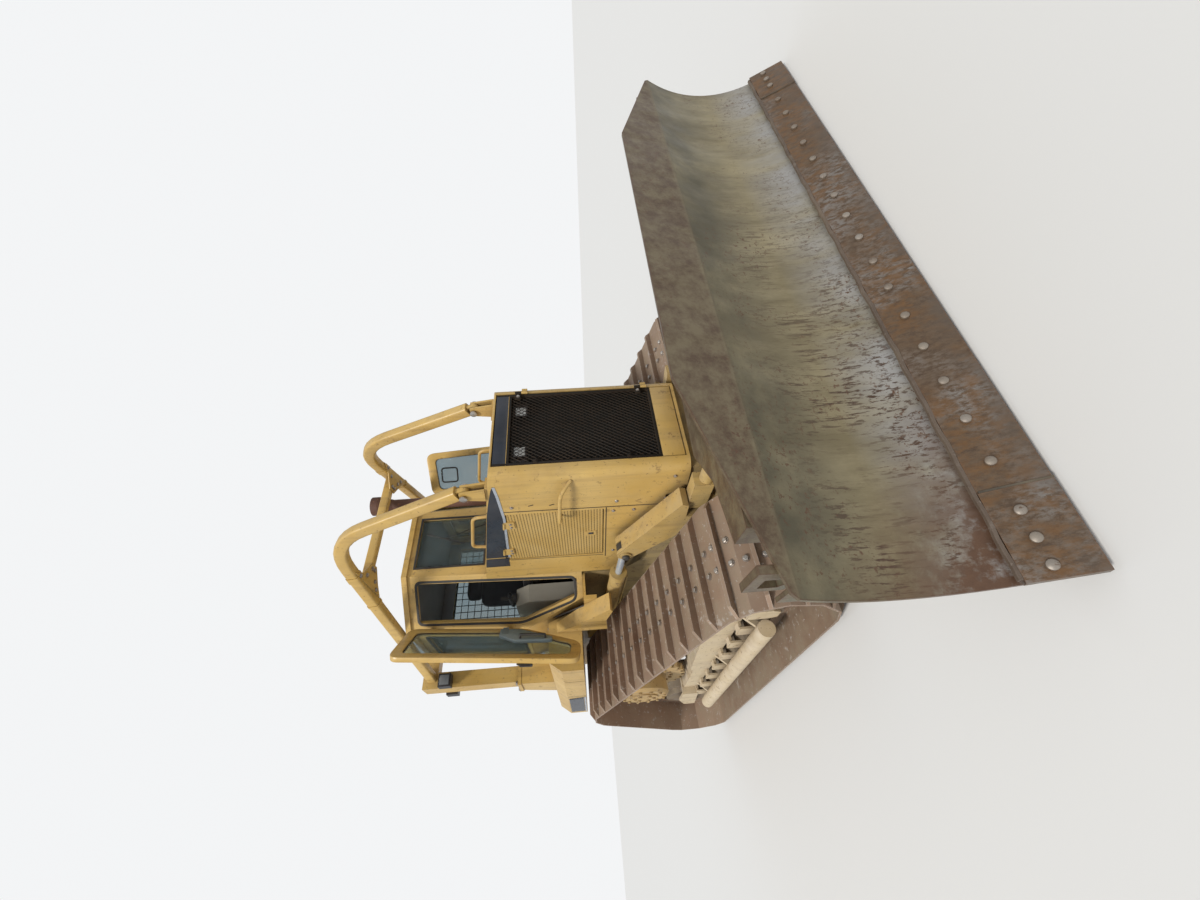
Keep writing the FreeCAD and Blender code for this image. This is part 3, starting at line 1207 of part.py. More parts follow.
lift_reach = math.hypot(d.lift_eye_y - d.lift_barrel_y, d.lift_eye_z - d.lift_barrel_z)
lift_way = vec(0, d.lift_eye_y - d.lift_barrel_y, d.lift_eye_z - d.lift_barrel_z).normalize()
sheet.set("C1", "=sqrt((lift_eye_y - lift_barrel_y)^2 + (lift_eye_z - lift_barrel_z)^2)")
sheet.setAlias("C1", "lift_reach")
doc.recompute()
d.lift_reach = lift_reach
for label, side in (("right", -1), ("left", 1)):
    place = ("%d * lift_x" % side, "lift_barrel_y", "lift_barrel_z")
    finished("lift_barrel_" + label, [barrel(
        "lift_barrel_" + label, "lift_barrel_radius", "lift_rod_radius", "lift_barrel_length", "lift_eye_radius",
        "lift_eye_width", "lift_pin_radius")], place, aim(lift_way, X))
    finished("lift_rod_" + label, [piston_rod(
        "lift_rod_" + label, "lift_rod_radius", "400", "lift_reach", "lift_eye_radius", "lift_eye_width")],
        place, aim(lift_way, X))

# Yoke on the nose pin. Blade pieces and the yoke are drawn about the nose pin, square ahead, and
# then turned to the blade's angle.
blade_turn = FreeCAD.Rotation(Z, d.blade_angle)


def yoke_part():
    z = d.pivot_z
    plates = []
    for low in (z - 105, z + 65):
        plates.append(Part.makeCylinder(125, 40, vec(0, 0, low)))
        plates.append(Part.makeBox(250, 300, 40, vec(-125, -300, low)))
    block = Part.makeBox(340, 170, 210, vec(-170, -400, z - 105))
    beam = Part.makeBox(2 * 640, 160, 140, vec(-640, -460, z - 70))
    parts = plates + [block, beam, Part.makeCylinder(d.tilt_pin_radius, 125, vec(0, -450, z), -Y)]
    low = d.angle_barrel_z - d.angle_eye_height / 2 - 1
    high = d.angle_barrel_z + d.angle_eye_height / 2 + 1
    for sign in (-1, 1):
        x = sign * d.angle_eye_x
        for base in (low - 24, high):
            parts.append(Part.makeBox(96, 146, 24, vec(x - 48, -460, base)))
            parts.append(Part.makeCylinder(48, 24, vec(x, -d.angle_eye_reach + 46, base)))
        parts.append(Part.makeBox(96, 16, high + 24 - z, vec(x - 48, -460, z)))
    for y in (20.5, -38.5):
        parts.append(prism([vec(d.tilt_barrel_x + x, -d.tilt_back + y, zz) for x, zz in (
            (-24, z + 60), (22, z + 60), (22, d.tilt_z + 20), (10, d.tilt_z + 32), (-10, d.tilt_z + 32),
            (-24, d.tilt_z + 20))], Y * 18))
    parts.append(Part.makeCylinder(16, 84, vec(d.tilt_barrel_x, -d.tilt_back - 42, d.tilt_z), Y))
    whole = parts[0].multiFuse(parts[1:])
    return whole.cut(Part.makeCylinder(d.nose_pin_radius + d.running_gap, 300, vec(0, 0, z - 150)))


finished("blade_yoke", [made("yoke_welded", yoke_part())], ("0", "pivot_y", "0"), blade_turn)

# Angle cylinders lie over the push frame's arms.
for label, side in (("right", -1), ("left", 1)):
    pivot = vec(side * d.angle_x, d.angle_barrel_y, d.angle_barrel_z)
    eye = blade_turn.multVec(vec(side * d.angle_eye_x, -d.angle_eye_reach, d.angle_barrel_z)) + Y * d.pivot_y
    reach = (eye - pivot).Length
    cell = "C%d" % (3 + side)
    sheet.set(cell, str(reach))
    sheet.setAlias(cell, "angle_reach_" + label)
    setattr(d, "angle_reach_" + label, reach)
    doc.recompute()
    place = ("%d * angle_x" % side, "angle_barrel_y", "angle_barrel_z")
    turn = aim((eye - pivot).normalize(), Z)
    tube = barrel("angle_barrel_" + label, "angle_barrel_radius", "angle_rod_radius", "angle_barrel_length",
                  "46", "90", "angle_pin_radius")
    guard = box("angle_guard_" + label, ("-78", "80"), ("-50", "50"), ("-58", "260"))
    hollow = box("angle_guard_hollow_" + label, ("-80.5 + 2", "-46"), ("-60", "60"), ("-70", "270"))
    pocket = rod("angle_guard_pocket_" + label, "x", "-100", "100", "angle_pin_radius + running_gap", ("0", "0"))
    bore = rod("angle_guard_bore_" + label, "z", "76", "300", "angle_rod_radius + running_gap", ("0", "0"))
    guarded = less("angle_guard_cut_" + label, fused("angle_guard_joined_" + label, [guard, tube]),
                   fused("angle_guard_tools_" + label, [hollow, pocket, bore]))
    finished("angle_barrel_" + label, [guarded], place, turn)
    finished("angle_rod_" + label, [piston_rod(
        "angle_rod_" + label, "angle_rod_radius", "angle_reach_%s - 921" % label, "angle_reach_" + label,
        "angle_eye_radius", "angle_eye_height")], place, turn)

# Tilt cylinder between the yoke and the blade's upper beam.
tilt_from = blade_turn.multVec(vec(d.tilt_barrel_x, -d.tilt_back, d.tilt_z))
tilt_way = blade_turn.multVec(-X)
tilt_pins = blade_turn.multVec(Y)
sheet.set("C5", str(tilt_from.x))
sheet.setAlias("C5", "tilt_from_x")
sheet.set("C6", str(tilt_from.y))
sheet.setAlias("C6", "tilt_from_y")
d.tilt_from_x = tilt_from.x
d.tilt_from_y = tilt_from.y
doc.recompute()
place = ("tilt_from_x", "pivot_y + tilt_from_y", "tilt_z")
finished("tilt_barrel", [barrel("tilt_barrel", "tilt_barrel_radius", "tilt_rod_radius", "tilt_barrel_length",
                                "36", "40", "16")], place, aim(tilt_way, tilt_pins))
finished("tilt_rod", [piston_rod("tilt_rod", "tilt_rod_radius", "200", "tilt_length", "30", "40")],
         place, aim(tilt_way, tilt_pins))

# Blade: a curved moldboard with an upper box beam, a lower beam, ribs and a bored centre boss.
face_y = -d.blade_reach


def moldboard_face():
    """The front of the moldboard as bottom, crease and lip, with its arc between the first two."""
    bottom = vec(0, face_y - 6, d.blade_bottom_z)
    crease = vec(0, face_y, d.blade_crease_z)
    lip = vec(0, face_y - d.lip_lean, d.blade_top_z)
    middle = (bottom + crease) * 0.5 + Y * d.blade_hollow
    return bottom, middle, crease, lip


def moldboard():
    bottom, middle, crease, lip = moldboard_face()
    back = Y * d.blade_sheet
    edges = [
        Part.Arc(bottom, middle, crease).toShape(), Part.LineSegment(crease, lip).toShape(),
        Part.LineSegment(lip, lip + back).toShape(), Part.LineSegment(lip + back, crease + back).toShape(),
        Part.Arc(crease + back, middle + back, bottom + back).toShape(),
        Part.LineSegment(bottom + back, bottom).toShape(),
    ]
    sheet_solid = wire_face(edges).extrude(X * d.blade_width)
    sheet_solid.translate(X * (-d.blade_width / 2))
    half = d.blade_width / 2
    crown = prism([vec(x, face_y - 400, z) for x, z in (
        (-half, 0), (-half, d.blade_crease_z), (-half + 20, d.blade_crease_z + 22),
        (-d.lip_half_length, d.blade_top_z), (d.lip_half_length, d.blade_top_z),
        (half - 20, d.blade_crease_z + 22), (half, d.blade_crease_z), (half, 0))], Y * 900)
    return sheet_solid.common(crown)


def plan_block(points, low, height):
    return prism([vec(x, face_y + out, low) for x, out in points], Z * height)


def side_block(points, x, width):
    return prism([vec(x, face_y + out, z) for out, z in points], X * width)


def before_the_blade():
    """All that lies in front of the middle of the moldboard's sheet."""
    core = Y * (d.blade_sheet / 2)
    bottom, middle, crease, lip = [point + core for point in moldboard_face()]
    under, over = bottom - Z * 60, lip + Z * 60
    front = Y * -300
    edges = [Part.LineSegment(under, bottom).toShape(), Part.Arc(bottom, middle, crease).toShape(),
             Part.LineSegment(crease, lip).toShape(), Part.LineSegment(lip, over).toShape(),
             Part.LineSegment(over, over + front).toShape(), Part.LineSegment(over + front, under + front).toShape(),
             Part.LineSegment(under + front, under).toShape()]
    block = wire_face(edges).extrude(X * (d.blade_width + 100))
    block.translate(X * (-d.blade_width / 2 - 50))
    return block


def blade_part():
    half = d.blade_width / 2
    wide = [(half - 230, 5), (half - 230, 150), (half - 510, 228), (949, 410)]
    wide = [(-x, out) for x, out in wide] + wide[::-1]
    parts = [plan_block(wide, d.upper_beam_z, d.upper_beam_height)]
    parts.append(side_block([(10, 160), (160, 160), (160, 320), (60, 320)], 40 - half, 2 * (half - 40)))
    for share in (-1, -0.76, -0.485, -0.21, 0.21, 0.485, 0.76, 1):
        parts.append(side_block([(40, 300), (160, 300), (130, d.upper_beam_z + 20), (0, d.upper_beam_z + 20)],
                                share * (half - 33) - 8, 16))
    parts.append(side_block([(60, 330), (190, 400), (190, 600), (150, d.upper_beam_z + 10), (60, d.upper_beam_z + 10)],
                            -150, 300))
    parts.append(Part.makeCylinder(105, 120, vec(0, face_y + 110, d.pivot_z), Y))
    gusset = side_block([(20, 800), (200, 860), (200, 1000), (0, 1000)], 80 - half, 30)
    gusset = gusset.cut(side_block([(70, 850), (160, 890), (160, 960), (70, 960)], 30 - half, 130))
    parts.append(gusset)
    for y in (20.5, -38.5):
        parts.append(prism([vec(d.tilt_barrel_x - d.tilt_length + x, -d.tilt_back + y, z) for x, z in (
            (-46, d.upper_beam_z + 10), (46, d.upper_beam_z + 10), (30, d.tilt_z - 34), (-30, d.tilt_z - 34))],
            Y * 18))
    behind = parts[0].multiFuse(parts[1:]).cut(before_the_blade())
    whole = moldboard().fuse(behind)
    return whole.cut(Part.makeCylinder(d.tilt_pin_radius + d.running_gap, 200, vec(0, face_y + 120, d.pivot_z), Y))


def blade_edges():
    """A centre edge and two end bits on the lowest part of the moldboard."""
    bottom, middle, crease, lip = moldboard_face()
    arc = Part.Arc(bottom, middle, crease)
    chord = arc.value(arc.FirstParameter + 90 / d.blade_height_arc) - bottom
    chord.normalize()
    out = vec(0, -chord.z, chord.y)
    if out.y > 0:
        out = out * -1
    tip = (d.edge_ground_gap - bottom.z) / chord.z
    foot = bottom + chord * (tip + 10) + out * d.loose_gap
    head = bottom + chord * 80 + out * d.loose_gap
    half = d.blade_width / 2
    inner = half - d.end_bit_width
    pieces = []
    for low, high, thick in ((-inner + 1, inner - 1, d.edge_thickness), (-half - 4, -inner, d.edge_thickness + 5),
                             (inner, half + 4, d.edge_thickness + 5)):
        pieces.append(prism([foot + X * low, head + X * low, head + out * thick + X * low,
                             foot + out * thick + X * low], X * (high - low)))
    return Part.makeCompound(pieces)


d.blade_height_arc = d.blade_crease_z - d.blade_bottom_z
finished("blade", [made("blade_welded", blade_part())], ("0", "pivot_y", "0"), blade_turn)
finished("cutting_edge", [made("edge_set", blade_edges())], ("0", "pivot_y", "0"), blade_turn)

# Check every feature and write each sub-part.
doc.recompute()
faults = [item.Label for item in doc.Objects if "Invalid" in item.State or "Error" in item.State]
for item in sub_parts:
    if item.Shape.isNull() or not item.Shape.isValid() or not item.Shape.Solids:
        faults.append("shape of " + item.Label)
if faults:
    raise SystemExit("failed: " + ", ".join(faults))
os.makedirs("parts", exist_ok=True)
for item in sub_parts:
    item.Shape.exportStep("parts/%s.step" % item.Label)
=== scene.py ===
import json
import math
import bpy
from mathutils import Matrix, Vector


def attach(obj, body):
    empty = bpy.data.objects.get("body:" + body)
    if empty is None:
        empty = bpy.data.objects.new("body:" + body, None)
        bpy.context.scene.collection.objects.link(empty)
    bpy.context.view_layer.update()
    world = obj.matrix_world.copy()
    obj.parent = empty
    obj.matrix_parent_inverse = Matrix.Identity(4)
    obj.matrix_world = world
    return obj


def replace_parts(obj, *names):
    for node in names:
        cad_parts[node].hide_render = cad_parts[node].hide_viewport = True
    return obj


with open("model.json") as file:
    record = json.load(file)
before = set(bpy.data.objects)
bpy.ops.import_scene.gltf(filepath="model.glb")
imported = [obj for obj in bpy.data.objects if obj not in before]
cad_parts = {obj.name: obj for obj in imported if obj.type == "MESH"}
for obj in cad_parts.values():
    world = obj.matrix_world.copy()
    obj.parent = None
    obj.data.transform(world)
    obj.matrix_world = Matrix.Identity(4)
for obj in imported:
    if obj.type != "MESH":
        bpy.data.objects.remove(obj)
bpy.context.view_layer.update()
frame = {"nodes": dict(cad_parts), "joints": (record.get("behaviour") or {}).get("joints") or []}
nodes = frame["nodes"]
bpy.ops.object.select_all(action="DESELECT")

# Track chains: closed loops of pressed steel shoes, each with one bar across it and four bolts into
# the links below. The steel is rust brown, and the bars' crests and ends are rubbed bright.
SIDES = (("right", -1), ("left", 1))
UP, DOWN, FRONT, BACK = (0, 0, 1), (0, 0, -1), (0, -1, 0), (0, 1, 0)
MIDDLE_X, MIDDLE_Y = 91.66, 610.56


def at(x, y, z):
    """A place measured in millimetres from the machine's middle plane and the ground."""
    return Vector(((x + MIDDLE_X) / 1000, (y + MIDDLE_Y) / 1000, z / 1000))


def metres(points):
    """Places as vectors in metres, where a plain (x, y, z) is in millimetres on the machine."""
    return [at(*point) if isinstance(point, tuple) else point for point in points]


class Recipe:
    """The nodes of one finish, on the object's own coordinates in metres."""

    def __init__(self, tree, placed=True):
        self.tree = tree
        if placed:
            self.place = self.made("ShaderNodeTexCoord", "Object")
            self.x, self.y, self.z = self.made("ShaderNodeSeparateXYZ", None, {0: self.place})

    def made(self, kind, output=None, inputs=None, **settings):
        """A new node with its settings and inputs: one of its outputs, or all of them."""
        node = self.tree.nodes.new(kind)
        for name, value in settings.items():
            setattr(node, name, value)
        for name, value in (inputs or {}).items():
            self.put(value, node.inputs[name])
        return node.outputs if output is None else node.outputs[output]

    def put(self, value, socket):
        if isinstance(value, bpy.types.NodeSocket):
            self.tree.links.new(value, socket)
        elif isinstance(value, tuple) and socket.type == "RGBA":
            socket.default_value = (*value, 1)
        else:
            socket.default_value = value

    def noise(self, scale, detail=5, rough=0.6, tall=1.0):
        place = self.made("ShaderNodeMapping", "Vector", {"Vector": self.place, "Scale": (1, 1, tall)})
        return self.made("ShaderNodeTexNoise", "Fac", {"Vector": place, "Scale": scale, "Detail": detail,
                                                       "Roughness": rough})

    def spread(self, value, low, high, to_low=0.0, to_high=1.0):
        return self.made("ShaderNodeMapRange", "Result", {"Value": value, "From Min": low, "From Max": high,
                                                          "To Min": to_low, "To Max": to_high})

    def patch(self, scale, low, high, detail=5, rough=0.6, tall=1.0, to_low=0.0, to_high=1.0):
        """Noise between two limits: patches of a size in a share of the surface."""
        return self.spread(self.noise(scale, detail, rough, tall), low, high, to_low, to_high)

    def math(self, kind, a, b=0.0):
        return self.made("ShaderNodeMath", 0, {0: a, 1: b}, operation=kind)

    def times(self, *values):
        product = values[0]
        for value in values[1:]:
            product = self.math("MULTIPLY", product, value)
        return product

    def plus(self, a, b):
        return self.math("ADD", a, b)

    def both(self, a, b):
        """The larger of two masks."""
        return self.math("MAXIMUM", a, b)

    def off_centre(self, steps):
        """How far a place lies from the middle of its step, where the steps repeat."""
        return self.math("ABSOLUTE", self.math("SUBTRACT", self.math("FRACT", steps), 0.5))

    def blend(self, mask, a, b):
        return self.made("ShaderNodeMix", "Result", {"Factor": mask, "A": a, "B": b}, data_type="RGBA")

    def edges(self, radius):
        """The outer edges of the shape, where its rounded normal leaves the flat one."""
        rounded = self.made("ShaderNodeBevel", "Normal", {"Radius": radius}, samples=4)
        flat = self.made("ShaderNodeNewGeometry", "Normal")
        turned = self.made("ShaderNodeVectorMath", "Value", {0: rounded, 1: flat}, operation="DOT_PRODUCT")
        return self.spread(turned, 0.985, 0.80)

    def corners(self, reach):
        """Inner corners, found by ambient occlusion: painted shade, with some grime, where light is shut out."""
        return self.spread(self.made("ShaderNodeAmbientOcclusion", "AO", {"Distance": reach}, samples=6),
                           0.80, 0.25)

    def lying(self):
        """How far the surface faces up."""
        facing = self.made("ShaderNodeNewGeometry", "Normal")
        return self.spread(self.made("ShaderNodeSeparateXYZ", "Z", {0: facing}), 0.25, 0.95)


def weather_group():
    """Old paint or steel: fading, runs of dirt, painted shade with some grime in inner corners, dust where it
    settles, grime low down, and bare chips.
    """
    tree = bpy.data.node_groups.new("weather", "ShaderNodeTree")
    for label, value in (("Paint", (0.5, 0.5, 0.5, 1)), ("Faded", (0.5, 0.5, 0.5, 1)),
                         ("Dust", (0.4, 0.34, 0.24, 1)), ("Bare", (0.1, 0.06, 0.03, 1)),
                         ("Dust amount", 0.4), ("Chips", 0.3), ("Runs", 0.3), ("Gloss", 0.45)):
        kind = "NodeSocketColor" if isinstance(value, tuple) else "NodeSocketFloat"
        tree.interface.new_socket(name=label, in_out="INPUT", socket_type=kind).default_value = value
    for label, kind in (("Color", "NodeSocketColor"), ("Roughness", "NodeSocketFloat"),
                        ("Height", "NodeSocketFloat")):
        tree.interface.new_socket(name=label, in_out="OUTPUT", socket_type=kind)
    r = Recipe(tree)
    given, out = r.made("NodeGroupInput"), tree.nodes.new("NodeGroupOutput").inputs
    colour = r.blend(r.patch(1.3, 0.33, 0.68), given["Paint"], given["Faded"])
    blotch = r.patch(7, 0.42, 0.72, 8, 0.65)
    stain = r.times(r.patch(2.4, 0.46, 0.66, 7, 0.68), r.patch(17, 0.30, 0.62, to_low=0.3))
    colour = r.blend(r.times(stain, given["Runs"], 0.55), colour, given["Bare"])
    runs = r.patch(13, 0.50, 0.68, 6, 0.62, 0.06)
    colour = r.blend(r.times(runs, given["Runs"], 0.8), colour, given["Bare"])
    # Inner corners are darkened to brown: painted shade, with some grime.
    inner = r.times(r.corners(0.16), r.spread(blotch, 0, 1, 0.55, 1), 0.75)
    colour = r.blend(inner, colour, (0.090, 0.055, 0.032))
    dusty = r.plus(r.times(r.lying(), 0.7), r.times(r.spread(r.z, 1.35, 0.25), 0.55))
    dusty = r.times(dusty, r.spread(blotch, 0, 1, 0.4, 1))
    dusty = r.times(r.plus(dusty, r.times(blotch, 0.32)), given["Dust amount"])
    colour = r.blend(dusty, colour, given["Dust"])
    specks = r.patch(42, 0.635, 0.67, 6)
    scabs = r.times(r.patch(9, 0.61, 0.645, 7, 0.72), 0.8)
    nicks = r.times(r.edges(0.007), r.patch(24, 0.40, 0.56, 6, 0.7))
    chips = r.times(r.both(r.both(specks, scabs), nicks), given["Chips"])
    r.put(r.blend(chips, colour, given["Bare"]), out["Color"])
    rough = r.plus(given["Gloss"], r.plus(r.times(dusty, 0.35), r.times(chips, 0.3)))
    r.put(r.times(rough, r.spread(blotch, 0, 1, 0.88, 1.12)), out["Roughness"])
    r.put(r.plus(r.times(r.noise(140, 4), 0.35), r.times(chips, -0.5)), out["Height"])
    return tree


weather = weather_group()


def finished(name, recipe, bump, depth, metal, placed=True):
    """A finish from a recipe of its colour, roughness and height."""
    finish = bpy.data.materials.new(name)
    finish.use_nodes = True
    r = Recipe(finish.node_tree, placed)
    colour, rough, height = recipe(r)
    relief = r.made("ShaderNodeBump", "Normal", {"Strength": bump, "Distance": depth, "Height": height})
    shader = finish.node_tree.nodes["Principled BSDF"].inputs
    for label, value in (("Metallic", metal), ("Base Color", colour), ("Roughness", rough), ("Normal", relief)):
        r.put(value, shader[label])
    return finish


def shade(name, colour, rough, height, bump=0.15, depth=0.004, metal=0.0):
    """A finish of its own, from functions of the recipe. The roughness may be a plain number."""
    return finished(name, lambda r: (colour(r), rough(r) if callable(rough) else rough, height(r)), bump, depth,
                    metal)


def aged(name, paint, faded, bare=(0.10, 0.05, 0.03), dust=(0.36, 0.30, 0.21), dusty=0.4, chips=0.3, runs=0.2,
         gloss=0.45, bump=0.12, metal=0.0):
    """A finish on the weathering group, with its own colours and amounts."""
    return finished(name, lambda r: r.made("ShaderNodeGroup", None, {
        "Paint": paint, "Faded": faded, "Dust": dust, "Bare": bare, "Dust amount": dusty, "Chips": chips,
        "Runs": runs, "Gloss": gloss}, node_tree=weather), bump, 0.004, metal, placed=False)


def dress(finish, *names):
    """A solid whose shape is right gets its finish."""
    for name in names:
        nodes[name].data.materials.clear()
        nodes[name].data.materials.append(finish)


shoe_steel = aged("shoe_steel", (0.225, 0.135, 0.090), (0.360, 0.245, 0.175), (0.50, 0.45, 0.40),
                  (0.30, 0.235, 0.165), dusty=0.75, chips=0.85, runs=0.10, gloss=0.50, bump=0.35, metal=0.25)
dress(shoe_steel, "track_right", "track_left")

WHEELS = ((-1358, 405, 357), (1743, 405, 357), (1050, 985, 500))
SHOES, TRACK_X = 45, 1000


def shoe_places():
    """The middle of each shoe on the band over the two idlers and the sprocket, and the angle it faces."""
    pairs = list(zip(WHEELS, WHEELS[1:] + WHEELS[:1]))
    facings = [math.atan2(z2 - z1, y2 - y1) - math.acos((r1 - r2) / math.hypot(y2 - y1, z2 - z1))
               for (y1, z1, r1), (y2, z2, r2) in pairs]
    pieces = []
    for ((y1, z1, r1), (y2, z2, r2)), facing, onward in zip(pairs, facings, facings[1:] + facings[:1]):
        start = (y1 + r1 * math.cos(facing), z1 + r1 * math.sin(facing))
        end = (y2 + r2 * math.cos(facing), z2 + r2 * math.sin(facing))
        pieces.append((start, end, None, math.dist(start, end), facing, facing))
        while onward < facing:
            onward += 2 * math.pi
        pieces.append((None, None, (y2, z2, r2), r2 * (onward - facing), facing, onward))
    total = sum(piece[3] for piece in pieces)
    places = []
    for n in range(SHOES):
        left = total * (n + 0.5) / SHOES
        for start, end, wheel, length, first, last in pieces:
            if left > length:
                left -= length
                continue
            share = left / length
            facing = first + share * (last - first)
            if wheel:
                y, z = wheel[0] + wheel[2] * math.cos(facing), wheel[1] + wheel[2] * math.sin(facing)
            else:
                y, z = start[0] + share * (end[0] - start[0]), start[1] + share * (end[1] - start[1])
            places.append((y, z, facing))
            break
    return places


def only(*items):
    """Everything is deselected but these, and the first of them is active."""
    bpy.ops.object.select_all(action="DESELECT")
    for item in items:
        item.select_set(True)
    if items:
        bpy.context.view_layer.objects.active = items[0]


def linked(name, data):
    """An object in the scene on its mesh, curve, light or camera."""
    item = bpy.data.objects.new(name, data)
    bpy.context.scene.collection.objects.link(item)
    return item


class editing:
    """Edit mode on the active piece, with all of it selected."""

    def __enter__(self):
        bpy.ops.object.mode_set(mode="EDIT")
        bpy.ops.mesh.select_all(action="SELECT")

    def __exit__(self, *problem):
        bpy.ops.object.mode_set(mode="OBJECT")


def settle(piece, name, finish, body="chassis", angle=35):
    """A finished piece, or a list to be one: its place goes into its mesh, it takes its finish and rides on
    its body."""
    if isinstance(piece, list):
        piece = joined(piece)
    only(piece)
    bpy.ops.object.transform_apply(location=True, rotation=True, scale=True)
    piece.name = piece.data.name = name
    piece.data.materials.clear()
    piece.data.materials.append(finish)
    bpy.ops.object.shade_smooth_by_angle(angle=math.radians(angle))
    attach(piece, body)
    piece.select_set(False)
    return piece


def joined(pieces):
    only(*pieces)
    if len(pieces) > 1:
        bpy.ops.object.join()
    return pieces[0]


def copied(piece, places):
    """Copies of a piece, each with its own mesh, joined at a list of matrices."""
    copies = []
    for place in places:
        copies.append(linked(piece.name, piece.data.copy()))
        copies[-1].matrix_world = place
    bpy.data.objects.remove(piece)
    return joined(copies)


def turned_head(sides, radius, height, rim, step):
    """A bolt or stud head standing on its own Z = 0, its top edge eased by an inset."""
    only()
    bpy.ops.mesh.primitive_cylinder_add(vertices=sides, radius=radius, depth=height, location=(0, 0, height / 2))
    head = bpy.context.object
    for face in head.data.polygons:
        face.select = face.normal.z > 0.9
    bpy.ops.object.mode_set(mode="EDIT")
    bpy.ops.mesh.select_mode(type="FACE")
    bpy.ops.mesh.inset(thickness=radius * rim, depth=radius * step)
    bpy.ops.object.mode_set(mode="OBJECT")
    bpy.ops.object.transform_apply(location=True, rotation=True, scale=True)
    return head


def standing(place, out, along=(1, 0, 0), spin=0.0):
    """The matrix that stands a piece's Z along a direction at a place."""
    up, along = Vector(out).normalized(), Vector(along)
    if abs(up.dot(along)) > 0.99:
        along = Vector(UP)
    side = (along - up * along.dot(up)).normalized()
    turn = Matrix((side, up.cross(side), up)).transposed().to_4x4()
    return Matrix.Translation(metres([place])[0]) @ turn @ Matrix.Rotation(spin, 4, "Z")


bolt_steel = aged("bolt_steel", (0.42, 0.39, 0.36), (0.55, 0.53, 0.50), (0.20, 0.11, 0.07), dusty=0.2, chips=0.6,
                  runs=0.0, gloss=0.36, metal=0.7)


def bolted(radius, height, places, name, body="chassis", finish=bolt_steel):
    """Hexagon heads, each on a thin washer, at a list of matrices."""
    bolt = joined([turned_head(12, radius * 1.3, height * 0.3, 0.1, 0.0),
                   turned_head(6, radius, height, 0.18, 0.14)])
    settle(copied(bolt, places), name, finish, body)


for label, side in SIDES:
    places = []
    for y, z, facing in shoe_places():
        out = Vector((0, math.cos(facing), math.sin(facing)))
        on = Vector((0, -math.sin(facing), math.cos(facing)))
        for across in (-74, 74):
            for travel in (-52, 60):
                spot = at(side * TRACK_X + across, y, z) + on * travel / 1000
                places.append(standing(spot, out, spin=0.3 * travel))
    bolted(0.0165, 0.016, places, "shoe_bolts_" + label)

# Undercarriage: toothed sprockets bolted to the final-drive hubs, cast idlers and rollers between
# the links, and welded roller frames with a round guard on the outer side, all caked with dry soil.
ochre_steel = aged("ochre_steel", (0.44, 0.275, 0.09), (0.50, 0.355, 0.155), (0.13, 0.075, 0.045),
                   (0.42, 0.35, 0.24), dusty=0.85, chips=0.8, runs=0.35, gloss=0.6, bump=0.3)
worn_steel = aged("worn_steel", (0.16, 0.12, 0.09), (0.26, 0.21, 0.16), (0.40, 0.37, 0.34),
                  (0.36, 0.30, 0.21), dusty=0.8, chips=0.7, runs=0.1, gloss=0.5, bump=0.3, metal=0.3)
dusty_paint = aged("dusty_paint", (0.495, 0.325, 0.092), (0.56, 0.395, 0.145), (0.13, 0.075, 0.045),
                   (0.46, 0.38, 0.25), dusty=0.45, chips=0.8, runs=0.4, gloss=0.48, bump=0.18)
soil_paint = aged("soil_paint", (0.52, 0.41, 0.24), (0.60, 0.50, 0.34), (0.24, 0.16, 0.10),
                  (0.64, 0.55, 0.42), dusty=0.8, chips=0.9, runs=0.5, gloss=0.62, bump=0.25)
dress(ochre_steel, "sprockets")
dress(worn_steel, "idlers_rollers")
dress(soil_paint, "roller_frames")
HUB_Y, HUB_Z = 1050, 985
HUB_RINGS = ((12, 205, 1211), (20, 300, 1031), (6, 95, 1223))
for label, side in SIDES:
    places = []
    for count, radius, face in HUB_RINGS:
        for n in range(count):
            turn = 2 * math.pi * (n + 0.5) / count
            spot = (side * face, HUB_Y + radius * math.cos(turn), HUB_Z + radius * math.sin(turn))
            places.append(standing(spot, (side, 0, 0), UP, turn))
    bolted(0.015, 0.013, places, "hub_bolts_" + label, finish=ochre_steel)

# Hull, engine and drawbar: thick welded plate in old paint under grime, and one heavy block for the
# engine, black with oil and dust behind the grille; its near black is partly painted shade for the dark space seen
# there.
frame_paint = aged("frame_paint", (0.36, 0.25, 0.09), (0.40, 0.30, 0.135), (0.08, 0.05, 0.03), dusty=0.8,
                   chips=0.6, runs=0.6, gloss=0.55, bump=0.2)
engine_paint = aged("engine_paint", (0.018, 0.015, 0.012), (0.030, 0.024, 0.018), (0.012, 0.010, 0.008),
                    (0.05, 0.040, 0.028), chips=0.4, runs=0.5, gloss=0.6, bump=0.3)
dress(frame_paint, "main_frame", "drawbar")
dress(engine_paint, "engine_block")

# Engine enclosure: pressed sheet with rounded front corners, a long dark wedge with a silver line along
# each upper side, panel joints, slots and screws, in faded warm yellow.
body_paint = aged("body_paint", (0.545, 0.345, 0.090), (0.630, 0.430, 0.145), (0.125, 0.068, 0.034),
                  (0.48, 0.385, 0.25), dusty=0.42, chips=0.55, runs=0.34, gloss=0.38, bump=0.06)
dress(body_paint, "enclosure", "riser_feet", "rollover_frame", "cab_body", "cab_roof", "platform", "fenders",
      "fuel_tank", "cab_door_right", "cab_door_left")
trim_black = aged("trim_black", (0.014, 0.018, 0.028), (0.040, 0.048, 0.065), (0.10, 0.10, 0.10), dusty=0.14,
                  chips=0.05, runs=0.05, gloss=0.22, bump=0.04)
trim_silver = aged("trim_silver", (0.46, 0.50, 0.56), (0.58, 0.62, 0.68), (0.20, 0.20, 0.20), dusty=0.15,
                   runs=0.1, gloss=0.28, bump=0.05, metal=0.4)
seam_black = aged("seam_black", (0.020, 0.017, 0.013), (0.035, 0.030, 0.022), dusty=0.3, chips=0.1, gloss=0.7)


def outward():
    """All faces of the piece that is edited are turned outward."""
    bpy.ops.mesh.select_all(action="SELECT")
    bpy.ops.mesh.normals_make_consistent(inside=False)


